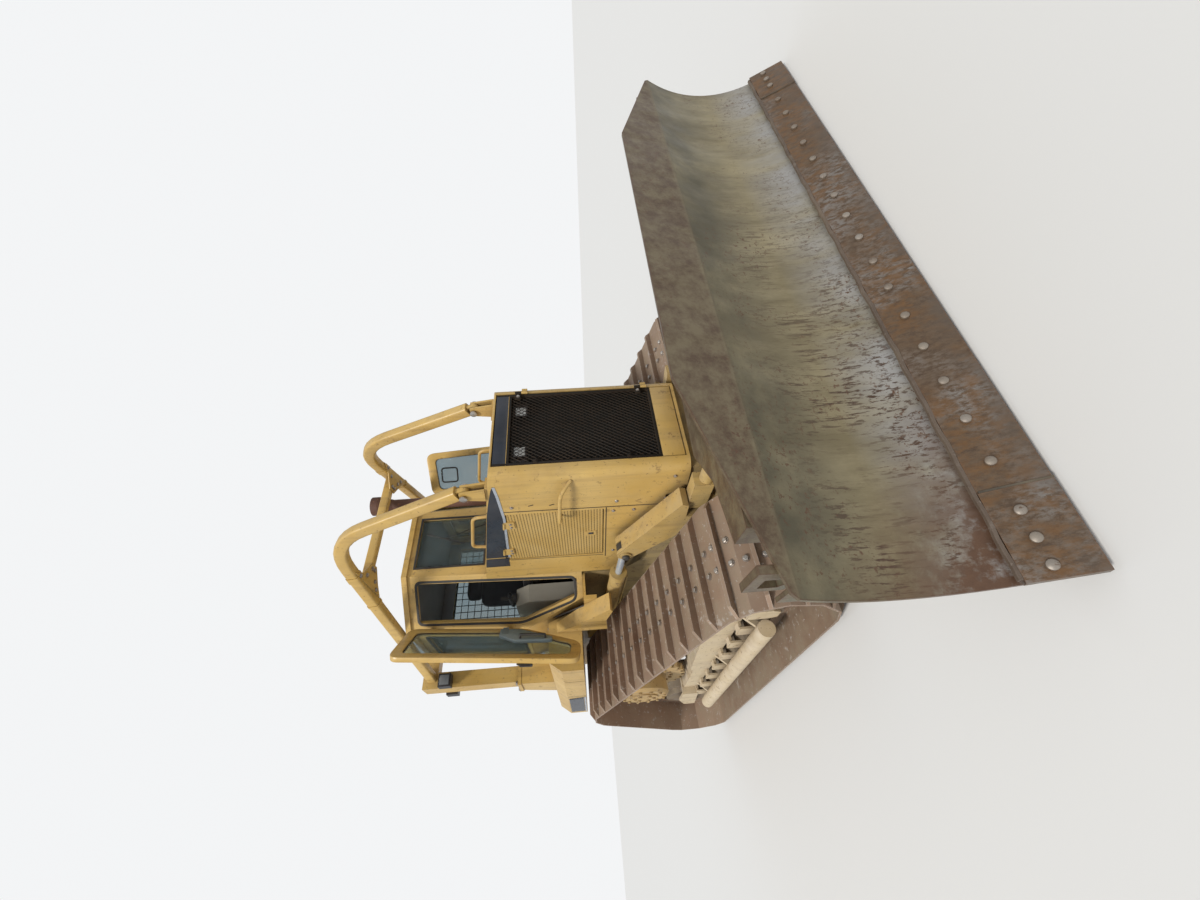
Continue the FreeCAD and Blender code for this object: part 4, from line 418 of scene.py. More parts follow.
def pressed(item, thickness, out, bevel=0.0):
    """A flat sheet is pressed out one way by its thickness in metres, and its edges are eased."""
    turned = item.data.polygons[0].normal.dot(Vector(out)) < 0
    with editing():
        if turned:
            bpy.ops.mesh.flip_normals()
        bpy.ops.mesh.extrude_region_shrink_fatten(TRANSFORM_OT_shrink_fatten={"value": thickness})
        outward()
        if bevel:
            bpy.ops.mesh.bevel(offset=bevel, segments=2, affect="EDGES")
    return item


def plate(corners, thickness, out, bevel=0.0):
    """A flat plate drawn by its corners and pressed out one way."""
    corners = metres(corners)
    middle = sum(corners, Vector()) / len(corners)
    only()
    bpy.ops.mesh.primitive_circle_add(vertices=len(corners), radius=1, fill_type="NGON", location=(0, 0, 0))
    item = bpy.context.object
    for vertex, corner in zip(item.data.vertices, corners):
        vertex.co = corner - middle
    item.location = middle
    item.data.update()
    return pressed(item, thickness, out, bevel)


def on_wall(side, face, outline, thickness):
    """A plate on a wall that faces sideways, from a list of (y, z)."""
    return plate([(side * face, y, z) for y, z in outline], thickness, (side, 0, 0))


def line_on_wall(side, face, points, width, proud):
    """A narrow band of sheet on such a wall along a list of (y, z)."""
    pieces = []
    for (y1, z1), (y2, z2) in zip(points, points[1:]):
        run = math.hypot(y2 - y1, z2 - z1)
        dy, dz = -(z2 - z1) / run * width / 2, (y2 - y1) / run * width / 2
        pieces.append(on_wall(side, face, ((y1 + dy, z1 + dz), (y1 - dy, z1 - dz), (y2 - dy, z2 - dz),
                                           (y2 + dy, z2 + dz)), proud))
    return joined(pieces)


HOOD_FACE, SCREW_FACE = 413.4, 413
SEAM_PROUD = 0.0009
WEDGE = ((-1606, 2079), (-1560, 2098), (-1400, 2142), (-1240, 2180), (-900, 2244), (-600, 2300), (-600, 2118),
         (-800, 2106), (-1200, 2066), (-1500, 2068))
WEDGE_REAR = ((-586, 2302), (-440, 2328), (-440, 2128), (-586, 2119))
STRIPE = ((-1600, 2074), (-1480, 2066), (-1200, 2062), (-800, 2098), (-600, 2110))
HOOD_SEAMS = ((((-1288, 2175), (-1262, 780)), 8), (((-1262, 1322), (-500, 1322)), 7),
              (((-545, 2110), (-530, 1340)), 6), (((-1360, 1836), (-1346, 1872)), 9),
              (((-1353, 1690), (-1339, 1726)), 9))
HOOD_SCREWS = ((-1340, 1990), (-1340, 1250), (-1340, 900), (-1600, 860), (-1215, 1270), (-1215, 1120),
               (-600, 1260))
for label, side in SIDES:
    wedge = [on_wall(side, HOOD_FACE, outline, 0.0016) for outline in (WEDGE, WEDGE_REAR)]
    settle(wedge, "hood_wedge_" + label, trim_black)
    settle(line_on_wall(side, HOOD_FACE, STRIPE, 19, 0.0026), "hood_stripe_" + label, trim_silver)
    joints = [line_on_wall(side, HOOD_FACE, line, width, SEAM_PROUD) for line, width in HOOD_SEAMS]
    settle(joints, "hood_joints_" + label, seam_black)
    places = [standing((side * SCREW_FACE, y, z), (side, 0, 0)) for y, z in HOOD_SCREWS]
    bolted(0.011, 0.008, places, "hood_screws_" + label)

# Grille door: a black pressed frame with fine expanded mesh, a plain band above it and a yellow panel
# below, hung at its left edge on two pins, with two small catches at its right.
grille_black = aged("grille_black", (0.012, 0.011, 0.010), (0.024, 0.021, 0.017), (0.10, 0.060, 0.035),
                    (0.10, 0.08, 0.05), dusty=0.12, chips=0.35, runs=0.1, gloss=0.62, bump=0.08)
grille_black.node_tree.nodes["Principled BSDF"].inputs["Specular IOR Level"].default_value = 0.15


def block(low, high, bevel=0.0, segments=2):
    """A box between two corners, its edges eased by a bevel in metres."""
    low, high = metres((low, high))
    only()
    bpy.ops.mesh.primitive_cube_add(size=1, location=(low + high) / 2)
    item = bpy.context.object
    item.scale = [abs(high[i] - low[i]) for i in range(3)]
    bpy.ops.object.transform_apply(location=False, rotation=False, scale=True)
    if bevel:
        with editing():
            bpy.ops.mesh.bevel(offset=bevel, segments=segments, affect="EDGES")
    return item


def expanded_mesh(half, low, high, y, pitch, rise, strand):
    """Expanded metal: a sheet of lozenges in wire form, trimmed to a rectangle."""
    only()
    count = int((2 * half + (high - low) * pitch / rise) / pitch) + 2
    size = count * pitch / math.sqrt(2)
    bpy.ops.mesh.primitive_grid_add(x_subdivisions=count, y_subdivisions=count, size=size, location=(0, 0, 0))
    net = bpy.context.object
    middle = (low + high) / 2
    with editing():
        bpy.ops.transform.rotate(value=math.radians(45), orient_axis="Z", center_override=(0, 0, 0))
        bpy.ops.transform.resize(value=(1, rise / pitch, 1), center_override=(0, 0, 0))
        bpy.ops.transform.rotate(value=math.radians(90), orient_axis="X", center_override=(0, 0, 0))
        for point, normal in (((half, 0, 0), (1, 0, 0)), ((-half, 0, 0), (-1, 0, 0)),
                              ((0, 0, high - middle), UP), ((0, 0, low - middle), DOWN)):
            bpy.ops.mesh.select_all(action="SELECT")
            bpy.ops.mesh.bisect(plane_co=point, plane_no=normal, clear_outer=True)
    net.location = (at(0, 0, 0).x, y, middle)
    wire = net.modifiers.new("wire", "WIREFRAME")
    wire.thickness, wire.use_replace, wire.use_boundary = strand, True, True
    bpy.ops.object.modifier_apply(modifier="wire")
    return net


leaf = [block(low, high, 0.003) for low, high in (
    ((-327, -1717, 943), (-309, -1683, 2070)), ((309, -1717, 943), (327, -1683, 2070)),
    ((-309, -1716, 943), (309, -1684, 962)), ((-309, -1716, 1960), (309, -1684, 1978)))]
leaf.append(expanded_mesh(half=0.311, low=0.955, high=1.966, y=at(0, -1706, 0).y, pitch=0.0290, rise=0.0450,
                          strand=0.0058))
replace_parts(settle(leaf, "grille_mesh", grille_black, "grille_door"), "grille_door")
settle(block((-325, -1716, 1980), (325, -1686, 2070), 0.004), "grille_band", trim_black, "grille_door")
lower = [block((-327, -1717, 790), (327, -1684, 941), 0.004),
         block((-327, -1716.5, 1977), (327, -1700, 1981), 0.001)]
settle(lower, "grille_lower_panel", body_paint, "grille_door")


def arc(first, corner, last, steps):
    """Places on the curve that takes a corner's place."""
    return [first * (1 - share) ** 2 + corner * (2 * share * (1 - share)) + last * share ** 2
            for share in (n / steps for n in range(steps + 1))]


def eased(points, bend):
    """The same points with each corner bent to a curve that starts a given way before it."""
    path = [points[0]]
    for before, corner, after in zip(points, points[1:], points[2:]):
        reach = min(bend, (before - corner).length * 0.45, (after - corner).length * 0.45)
        path += arc(corner + (before - corner).normalized() * reach, corner,
                    corner + (after - corner).normalized() * reach, 8)
    return path + [points[-1]]


def line_through(points, dimensions, closed=False):
    """A curve of straight runs through places in metres."""
    curve = bpy.data.curves.new("line", "CURVE")
    curve.dimensions = dimensions
    line = curve.splines.new("POLY")
    line.points.add(len(points) - 1)
    for point, spot in zip(line.points, points):
        point.co = (*spot, 1)
    line.use_cyclic_u = closed
    return curve


def drawn(points, radius=0.0, bend=0.0, profile=None, resolution=3):
    """A bar or tube drawn along points: round by its radius in metres, or with a profile of (x, y)."""
    points = metres(points)
    curve = line_through(eased(points, bend) if bend else points, "3D")
    curve.use_fill_caps = True
    section = None
    if profile:
        section = linked("section", line_through([(x, y, 0) for x, y in profile], "2D", closed=True))
        curve.bevel_mode, curve.bevel_object, curve.twist_mode = "OBJECT", section, "Z_UP"
    else:
        curve.bevel_depth, curve.bevel_resolution = radius, resolution
    only(linked("bar", curve))
    bpy.ops.object.convert(target="MESH")
    item = bpy.context.object
    if section:
        bpy.data.objects.remove(section)
    with editing():
        bpy.ops.mesh.remove_doubles(threshold=0.0001)
        bpy.ops.mesh.normals_make_consistent(inside=False)
    return item


catches, hinges = [], []
for z in (1150, 1770):
    catches += [block((-320, -1723, z), (-290, -1716, z + 30), 0.002),
                drawn([(-305, -1722, z + 15), (-305, -1730, z + 15)], 0.008)]
settle(catches, "grille_catches", grille_black, "grille_door")
GRILLE_HINGES = (1010, 1890)
for z in GRILLE_HINGES:
    hinges += [drawn([(330, -1730, z), (330, -1730, z + 45)], 0.0105),
               block((268, -1729, z + 4), (330, -1714, z + 42), 0.002)]
settle(hinges, "grille_hinge_leaves", grille_black, "grille_door")
places = [standing((294, -1729, z + 23), FRONT) for z in GRILLE_HINGES]
bolted(0.010, 0.008, places, "grille_hinge_bolts", "grille_door")

# Radiator: a black finned core in a sheet shroud, set back behind the grille. Its near black and the
# shroud's side sheets are partly painted shade for the dark inside of the enclosure.
radiator_fins = shade("radiator_fins",
                      lambda r: r.blend(r.noise(5, 6), (0.006, 0.005, 0.004), (0.020, 0.017, 0.012)), 0.8,
                      lambda r: r.math("SINE", r.times(r.z, 1400.0)), bump=0.6, depth=0.003)
core = [block((-345, -1612, 860), (345, -1600, 2020), 0.002)]
for _, side in SIDES:
    core += [block((side * 345, -1650, 860), (side * 339, -1600, 2020), 0.001),
             drawn([(side * 120, -1616, 860), (side * 120, -1616, 2020)], 0.006)]
settle(core, "radiator_core", radiator_fins)

# Hood lamps: two square lamps behind the mesh, each a ribbed lens whose pale colour is a painted reflection of the
# bright bowl behind it.
lamp_black = aged("lamp_black", (0.012, 0.014, 0.020), (0.03, 0.034, 0.045), dusty=0.2, chips=0.2, gloss=0.4)
dress(lamp_black, "lamps")


def ribbed(r):
    """Upright ribs in a lens."""
    return r.math("SINE", r.times(r.x, 900.0))


# The lens is opaque: its near-white colour is a painted reflection of the lamp's bowl.
lens_painted_reflection = shade("lens_painted_reflection",
                   lambda r: r.blend(r.patch(60, 0.35, 0.65, 3), (0.80, 0.81, 0.78), (0.95, 0.95, 0.92)),
                   lambda r: r.patch(25, 0.3, 0.7, 4, to_low=0.10, to_high=0.30), ribbed, bump=0.5, depth=0.003)


def glazed(spots, half, name, lens):
    """Square lamp glasses, each a lens in a raised rim, at a list of (x, y, z, facing)."""
    rims, lenses = [], []
    for x, y, z, facing in spots:
        rims.append(block((x - half, y, z - half), (x + half, y + 5 * facing, z + half), 0.004))
        lenses.append(block((x - half + 9, y + 4 * facing, z - half + 9),
                            (x + half - 9, y + 8 * facing, z + half - 9), 0.003))
    settle(rims, name + "_rims", lamp_black)
    settle(lenses, name + "_lenses", lens)


glazed([(x, -1672, 1896, -1) for x in (-187, 187)], 46, "hood_lamp", lens_painted_reflection)

# Side doors: one pressed leaf each side with rows of slots punched in its dished field, two hinge
# plates at the top and a paddle latch at the foot.
SLOT_ROW, SLOT_PITCH, FIELD_DEPTH = 0.0215, 0.0340, 0.4095


def punched(r):
    """Rows of short slots in the field; where they are open, their dark is painted shade."""
    row = r.math("DIVIDE", r.z, SLOT_ROW)
    odd = r.times(r.math("MODULO", r.math("FLOOR", row), 2.0), 0.5)
    along = r.off_centre(r.plus(r.math("DIVIDE", r.y, SLOT_PITCH), odd))
    slot = r.times(r.spread(along, 0.46, 0.40), r.spread(r.off_centre(row), 0.24, 0.06))
    aside = r.math("ABSOLUTE", r.math("SUBTRACT", r.x, at(0, 0, 0).x))
    return r.times(slot, r.math("LESS_THAN", aside, FIELD_DEPTH))


def slotted_paint(r):
    paint = r.blend(r.patch(4, 0.35, 0.7, 6), (0.49, 0.315, 0.090), (0.56, 0.390, 0.150))
    # The open slots are painted dark brown as painted shade, since they are not cut through.
    return r.blend(r.times(punched(r), 0.62), paint, (0.075, 0.052, 0.022))


perforated = shade("perforated_paint", slotted_paint,
                   lambda r: r.patch(9, 0.3, 0.7, to_low=0.42, to_high=0.62),
                   lambda r: r.times(punched(r), -1.0), bump=0.8)
dress(perforated, "side_door_right", "side_door_left")
for label, side in SIDES:
    door = "side_door_" + label
    places = [standing((side * 420.5, y + dy, z - 34), (side, 0, 0))
              for y, z in ((-1104, 2062), (-696, 2110)) for dy in (-22, 22)]
    bolted(0.009, 0.006, places, "side_door_screws_" + label, door)
    settle(block((side * 408, -912, 1418), (side * 415, -888, 1456), 0.003), "side_door_paddle_" + label,
           trim_black, door)

# Grab rails on the hood's top and sides: bent round bar welded on.
HOOD_FRONT_Y, HOOD_FRONT_Z, HOOD_RUN, HOOD_RISE = -1679, 2100, 1242, 235
RAIL = 0.013


def hood_top(y):
    """The height of the hood's sloping top."""
    return HOOD_FRONT_Z + (y - HOOD_FRONT_Y) / HOOD_RUN * HOOD_RISE


front, rear = hood_top(-1105), hood_top(-640)
rails = []
for _, side in SIDES:
    rails += [drawn([(side * 324, -640, rear - 2), (side * 324, -652, rear + 110),
                     (side * 324, -1093, front + 110), (side * 324, -1105, front - 2)], RAIL, 0.06),
              drawn([(side * 410, -1199, 1655), (side * 492, -1210, 1662), (side * 492, -1560, 1640),
                     (side * 410, -1625, 1560)], RAIL, 0.06)]
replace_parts(settle(rails, "grab_rail_bars", body_paint), "grab_rails")

# Exhaust stack: rolled steel pipe with a flared mouth, rusted dark brown.
exhaust_rust = aged("exhaust_rust", (0.085, 0.038, 0.026), (0.14, 0.065, 0.042), (0.24, 0.115, 0.06),
                    (0.18, 0.10, 0.07), chips=0.9, runs=0.35, gloss=0.75, bump=0.3)
dress(exhaust_rust, "exhaust_stack")

# Limb risers: box tube with rounded corners, bent once, from a pinned eye at the hood to the roll-over
# posts. A cross tube is bolted between them on gusset plates.
EYE_X, EYE_Y, EYE_Z = 390, -1526, 2280
BEND_X, BEND_Y, BEND_Z = 441, -1084, 3345
RUN_X, RUN_Y, RUN_DROP = 444, 2104, 245
GUSSET_DROP = 56


def rounded_section(wide, deep, corner):
    """The outline of a box tube with rounded corners, in metres."""
    ring = []
    for i, (sx, sy) in enumerate(((1, 1), (-1, 1), (-1, -1), (1, -1))):
        for n in range(5):
            turn = math.pi / 2 * (i + n / 4)
            ring.append((sx * (wide / 2 - corner) + corner * math.cos(turn),
                         sy * (deep / 2 - corner) + corner * math.sin(turn)))
    return ring


def on_riser(side, y):
    """The middle of a riser's upper run."""
    share = (y - BEND_Y) / RUN_Y
    return side * (BEND_X + share * RUN_X), y, BEND_Z - share * RUN_DROP


def on_gusset(side, x, y):
    return side * x, y, on_riser(side, y)[2] - GUSSET_DROP


weldment, bolts = [], []
cross_x, cross_y, cross_z = on_riser(1, -540)
inner = cross_x - 39
GUSSET = ((inner + 20, -760), (inner + 55, -360), (inner - 30, -430), (inner - 150, -500), (inner - 150, -580),
          (inner - 30, -660))
GUSSET_BOLTS = ((inner - 110, -522), (inner - 110, -558), (inner - 30, -480), (inner - 30, -610),
                (inner + 10, -690), (inner + 22, -440))
for _, side in SIDES:
    weldment += [
        drawn([(side * EYE_X, EYE_Y, 2322), (side * BEND_X, BEND_Y, BEND_Z), on_riser(side, 1019)], bend=0.32,
              profile=rounded_section(0.078, 0.096, 0.020)),
        plate([(side * EYE_X - 17, EYE_Y + dy, EYE_Z + dz) for dy, dz in (
            (-42, -6), (42, -6), (52, 62), (-30, 62))], 0.034, (1, 0, 0), 0.004),
        drawn([(side * EYE_X - 17, EYE_Y, EYE_Z), (side * EYE_X + 17, EYE_Y, EYE_Z)], 0.042, resolution=6)]
    for y1, y2 in ((-700, -640), (-330, -306)):
        weldment.append(drawn([on_riser(side, y1), on_riser(side, y2)],
                              profile=rounded_section(0.086, 0.104, 0.020)))
    weldment.append(plate([on_gusset(side, x, y) for x, y in GUSSET], 0.010, UP, 0.002))
    bolts += [standing(on_gusset(side, x, y), DOWN) for x, y in GUSSET_BOLTS]
weldment.append(drawn([(-cross_x, cross_y, cross_z - 16), (cross_x, cross_y, cross_z - 16)],
                      profile=rounded_section(0.070, 0.070, 0.012)))
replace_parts(settle(weldment, "riser_weldment", body_paint), "limb_risers")
bolted(0.014, 0.010, bolts, "riser_gusset_bolts")
pins = [standing((side * EYE_X + across, EYE_Y, EYE_Z), (across, 0, 0)) for _, side in SIDES
        for across in (-48, 48)]
settle(copied(turned_head(16, 0.027, 0.010, 0.25, 0.12), pins), "riser_pin_heads", bolt_steel)

# Cab: a pressed shell with a grey headliner, a black floor mat and dash, rubber seals round the doorways
# and the windscreen, tinted safety glass, and a square wire screen at the back.
window_glass = bpy.data.materials.new("window_glass")
window_glass.use_nodes = True
r = Recipe(window_glass.node_tree)
film = r.patch(3, 0.35, 0.75, 8)
for label, value in (("Transmission Weight", 0.9), ("IOR", 1.15),
                     ("Base Color", r.blend(film, (0.40, 0.50, 0.53), (0.50, 0.55, 0.53))),
                     ("Roughness", r.spread(film, 0, 1, 0.02, 0.16))):
    r.put(value, window_glass.node_tree.nodes["Principled BSDF"].inputs[label])
dress(window_glass, "cab_glass", "door_glass_right", "door_glass_left")
dress(grille_black, "rear_screen")
rubber = aged("rubber", (0.014, 0.014, 0.015), (0.030, 0.029, 0.028), (0.05, 0.045, 0.04), dusty=0.25, chips=0.1,
              runs=0.1, gloss=0.6)
headliner_grey = aged("headliner_grey", (0.13, 0.135, 0.145), (0.17, 0.175, 0.18), (0.08, 0.08, 0.08), dusty=0.1,
                      chips=0.05, runs=0.05, gloss=0.9, bump=0.3)
liner = [plate([(x, y, 3066) for x, y in ((-310, -120), (310, -120), (620, 190), (620, 940), (-620, 940),
                                          (-620, 190))], 0.010, UP),
         block((-575, 925, 2950), (575, 948, 3068), 0.008)]
for _, side in SIDES:
    liner.append(block((side * 515, 925, 2100), (side * 600, 948, 2955), 0.008))
settle(liner, "headliner", headliner_grey)
mat = plate([(x, y, 1571) for x, y in ((-330, -110), (330, -110), (600, 160), (600, 930), (-600, 930),
                                       (-600, 160))], 0.006, UP)
dash = joined([block((-230, -100, 1580), (230, 20, 2060), 0.03, 3),
               block((-280, -90, 2060), (280, 60, 2130), 0.02, 3),
               block((-560, 905, 1580), (560, 945, 2120), 0.01)])
settle([mat, dash], "floor_mat_and_dash", rubber)

PANE_HALF, PANE_LOW, PANE_HIGH, SEAL = 246, 2419, 3021, 18
seal = [block((x1, -196, z1), (x2, -186, z2), 0.003) for x1, x2, z1, z2 in (
    (-PANE_HALF - SEAL, -PANE_HALF, PANE_LOW - SEAL, PANE_HIGH + SEAL),
    (PANE_HALF, PANE_HALF + SEAL, PANE_LOW - SEAL, PANE_HIGH + SEAL),
    (-PANE_HALF, PANE_HALF, PANE_LOW - SEAL, PANE_LOW), (-PANE_HALF, PANE_HALF, PANE_HIGH, PANE_HIGH + SEAL))]
settle(seal, "windscreen_seal", rubber)


def rounded(ring, reach):
    """A closed outline with its corners rounded."""
    path = []
    for n, corner in enumerate(ring):
        before, after = ring[n - 1] - corner, ring[(n + 1) % len(ring)] - corner
        path += arc(corner + before.normalized() * reach, corner, corner + after.normalized() * reach, 7)
    return path


def framed(outer, inner, thick, out, ease):
    """A flat frame between two outlines, pressed out by its thickness, with its edges eased."""
    rings = []
    for outline in (outer, inner):
        only()
        bpy.ops.mesh.primitive_circle_add(vertices=len(outline), fill_type="NOTHING", location=(0, 0, 0))
        rings.append(bpy.context.object)
        for vertex, spot in zip(rings[-1].data.vertices, outline):
            vertex.co = spot
    item = joined(rings)
    with editing():
        bpy.ops.mesh.select_mode(type="EDGE")
        bpy.ops.mesh.select_all(action="SELECT")
        bpy.ops.mesh.bridge_edge_loops()
        outward()
        bpy.ops.mesh.select_mode(type="FACE")
    pressed(item, thick, out)
    soft = item.modifiers.new("ease", "BEVEL")
    soft.width, soft.segments, soft.limit_method, soft.angle_limit = ease, 2, "ANGLE", math.radians(40)
    bpy.ops.object.modifier_apply(modifier="ease")
    return item


def sealed(outer, inner, thick, out):
    """A rubber seal between two outlines, its corners rounded."""
    return framed(rounded(outer, 0.06), rounded(inner, 0.05), thick, out, 0.0012)


WALL_TOP_X, WALL_TOP_Z, WALL_LEAN, WALL_RISE = 690, 3080, 92, 1550


def side_wall(side, y, z):
    """A place on the cab's leaning side wall above the belt."""
    return at(side * (WALL_TOP_X + WALL_LEAN * (WALL_TOP_Z - z) / WALL_RISE), y, z)


for label, side in SIDES:
    outer, inner = [[side_wall(side, y, z) for y, z in ((330 - by, 2120 - by), (900 + by, 2120 - by),
                                                        (900 + by, 2990 + by), (330 - by, 2990 + by))]
                    for by in (22, -3)]
    out = Vector((side * WALL_RISE, 0, WALL_LEAN)).normalized()
    settle(sealed(outer, inner, 0.006, out), "side_window_seal_" + label, rubber)
wiper = [drawn([(150, -196, 2412), (150, -206, 2430), (20, -206, 2790)], 0.005, 0.01),
         drawn([(-40, -204, 2600), (80, -204, 2960)], 0.006),
         block((130, -212, 2396), (170, -192, 2424), 0.004)]
settle(wiper, "wiper", rubber)

# Cab doors: flanged pressed frames with a kink at the foot. Inside each the pane sits in a rubber seal,
# and a moulded panel carries the handle.
door_panel_grey = aged("door_panel_grey", (0.17, 0.225, 0.235), (0.25, 0.30, 0.31), (0.12, 0.13, 0.13),
                       dusty=0.2, chips=0.15, runs=0.1, gloss=0.5)


class Pane:
    """The plane of an open door's pane, seen from the cab's inside face, and the pane's corners in turn."""

    def __init__(self, label):
        mesh = nodes["door_glass_" + label].data
        inside = [face for face in mesh.polygons if face.normal.y < -0.5 and face.area > 0.01]
        self.normal = inside[0].normal.copy()
        corners = {tuple(round(value, 5) for value in mesh.vertices[n].co) for face in inside for n in face.vertices}
        corners = [Vector(corner) for corner in corners]
        middle = sum(corners, Vector()) / len(corners)
        self.away = Vector(UP).cross(self.normal).normalized()
        if self.away.y > 0:
            self.away = -self.away
        self.up = self.normal.cross(self.away)
        if self.up.z < 0:
            self.up = -self.up
        self.corners = self.in_turn(corners, middle)
        self.origin = max((corner for corner in self.corners if corner.z > middle.z + 0.3), key=lambda c: c.y)

    def in_turn(self, ring, middle):
        """Places round a middle in the order of a walk round it."""
        return sorted(ring, key=lambda c: math.atan2((c - middle).dot(self.up), (c - middle).dot(self.away)))

    def spot(self, away, z, out=0.0):
        """A place on the plane, away from the pane's hinge side and at a height, in millimetres."""
        rise = (z / 1000 - self.origin.z) / self.up.z
        return self.origin + self.away * (away / 1000) + self.up * rise + self.normal * (out / 1000)

    def spots(self, outline, out):
        return [self.spot(away, z, out) for away, z in outline]

    def start(self, z):
        """How far from the hinge side the pane's own edge lies at a height, in millimetres."""
        ring = [((corner - self.origin).dot(self.away) * 1000, corner.z * 1000) for corner in self.corners]
        return min(a1 + (a2 - a1) * (z - z1) / (z2 - z1) for (a1, z1), (a2, z2) in zip(ring, ring[1:] + ring[:1])
                   if abs(z2 - z1) > 1 and min(z1, z2) <= z <= max(z1, z2))

    def free_edge(self):
        """How far from the hinge side the pane's free edge lies, in millimetres."""
        return max((corner - self.origin).dot(self.away) * 1000 for corner in self.corners)

    def band(self, outset, width, out, thick):
        """A rubber seal in one piece round the pane, a little outside its edge."""
        middle = sum(self.corners, Vector()) / len(self.corners)

        def grown(by):
            ring = []
            for n, corner in enumerate(self.corners):
                before = (corner - self.corners[n - 1]).normalized()
                after = (self.corners[(n + 1) % len(self.corners)] - corner).normalized()
                side1, side2 = before.cross(self.normal), after.cross(self.normal)
                if side1.dot(corner - middle) < 0:
                    side1, side2 = -side1, -side2
                ring.append(corner + (side1 + side2) * (by / (1 + side1.dot(side2))) + self.normal * out)
            return ring

        return sealed(grown(outset + width), grown(outset), thick, self.normal)

    def leaf(self, node, thick):
        """The pressed frame round the pane, from the outline of its solid's near face, with rounded corners."""
        spots = [vertex.co for vertex in node.data.vertices]
        near = max(spot.dot(self.normal) for spot in spots)
        hole = [corner + self.normal * (near - corner.dot(self.normal)) for corner in self.corners]
        rim = {tuple(round(value, 4) for value in spot): spot.copy() for spot in spots
               if spot.dot(self.normal) > near - 0.0005 and min((spot - corner).length for corner in hole) > 0.02}
        rim = self.in_turn(rim.values(), sum(hole, Vector()) / len(hole))
        return framed(rounded(rim, 0.085), rounded(hole, 0.05), thick, -self.normal, 0.006)


SHUT_TURN = math.radians(93)
PULL_TOP, PULL_FOOT = 2262, 1810
doors = {joint["name"]: joint for joint in frame["joints"]}
for label, _ in SIDES:
    pane, door = Pane(label), "cab_door_" + label
    pin, rise = Vector(doors[door + "_hinge"]["pos_m"]), Vector(doors[door + "_hinge"]["axis"])
    shut = Matrix.Translation(pin) @ Matrix.Rotation(SHUT_TURN, 4, rise) @ Matrix.Translation(-pin)
    rise = rise if rise.z > 0 else -rise
    inward = pane.away * 0.07
    parts = [pane.leaf(nodes[door], 0.046)]
    for along in (0.161, 0.843):
        low = pin + rise * along
        foot, head = low + rise * 0.004, low + rise * 0.044
        parts += [drawn([low, low + rise * 0.048], 0.015),
                  plate([foot, head, head + inward, foot + inward], 0.014, pane.normal, 0.002)]
    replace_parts(settle(parts, "cab_door_frame_" + label, body_paint, door), door)
    settle(pane.band(-0.004, 0.018, 0.0, 0.009), "door_pane_seal_" + label, rubber, door)
    reach = pane.start(PULL_FOOT) + 70
    panel = [plate(pane.spots(((pane.start(PULL_TOP) + 14, PULL_TOP), (150, PULL_TOP), (reach, 2120),
                               (reach, 1850), (reach - 12, PULL_FOOT), (pane.start(PULL_FOOT) + 16, PULL_FOOT),
                               (pane.start(2085) + 14, 2085)), 22), 0.036, pane.normal, 0.010)]
    for n in range(6):
        left, right = 36 + n * 18, 46 + n * 18
        panel.append(plate(pane.spots(((left, 2240), (left, 2190), (right, 2190), (right, 2240)), 57), 0.004,
                           pane.normal))
    settle(panel, "door_handle_panel_" + label, door_panel_grey, door)
    grip = drawn([pane.spot(reach - 26, z, out) for z, out in ((1870, 56), (1870, 90), (2080, 90), (2080, 56))],
                 0.010, 0.02)
    free = pane.free_edge() + 36
    lever = [
        plate(pane.spots(((free - 22, 1960), (free + 22, 1960), (free + 22, 2080), (free - 22, 2080)), -27), 0.004,
              -pane.normal, 0.001),
        drawn([pane.spot(free, z, out) for z, out in ((2060, -28), (2060, -52), (1965, -52), (1965, -40))],
              0.009, 0.012)]
    settle(lever, "door_lever_" + label, rubber, door)
    settle(grip, "door_pull_" + label, rubber, door)
    seal = pane.band(0.020, 0.022, 0.0235, 0.004)
    seal.matrix_world = shut @ seal.matrix_world
    settle(seal, "doorway_seal_" + label, rubber)
mirror = [Pane("left").spot(*place) for place in ((150, 2950, 26), (80, 2950, 30), (80, 2790, 30), (230, 2790, 30),
                                                  (230, 2950, 30), (155, 2950, 30))]
settle(drawn(mirror, 0.008, 0.03), "door_mirror_loop", rubber, "cab_door_left")

# Seat: a cushion and a back in black cloth over foam, sewn with a channel round the middle, with a
# headrest, an armrest and a boxed suspension under them.


def woven(r):
    return r.made("ShaderNodeTexVoronoi", "Distance", {"Vector": r.place, "Scale": 420})


def cloth(r):
    ground = r.blend(r.patch(6, 0.4, 0.7), (0.010, 0.010, 0.012), (0.022, 0.021, 0.022))
    return r.blend(woven(r), ground, (0.045, 0.045, 0.050))


seat_cloth = shade("seat_cloth", cloth, 0.92, woven, bump=0.4, depth=0.002)
seat_cloth.node_tree.nodes["Principled BSDF"].inputs["Sheen Weight"].default_value = 0.25
SEAM_AT, SEAM_SOFT, SEAM_DEEP = 0.62, 0.07, 0.010


def cushion(low, high, crown):
    """A crowned pad: cut fine, its faces swollen between seams, a sewn channel, and its corners drawn in."""
    low, high = metres((low, high))
    item = block(low, high)
    with editing():
        bpy.ops.mesh.subdivide(number_cuts=11)
    half = [abs(high[i] - low[i]) / 2 for i in range(3)]
    thin = half.index(min(half))
    for vertex in item.data.vertices:
        share = [vertex.co[i] / half[i] for i in range(3)]
        for i in range(3):
            around = max(abs(share[j]) for j in range(3) if j != i)
            vertex.co[i] += share[i] * (crown * (1 - around ** 3) - 0.010 * around ** 6)
        channel = max(abs(share[j]) for j in range(3) if j != thin)
        if abs(share[thin]) > 0.99:
            seam = SEAM_DEEP * math.exp(-((channel - SEAM_AT) / SEAM_SOFT) ** 2)
            vertex.co[thin] -= math.copysign(seam, share[thin])
    smooth = item.modifiers.new("round", "SUBSURF")
    smooth.levels = smooth.render_levels = 2
    bpy.ops.object.modifier_apply(modifier="round")
    return item


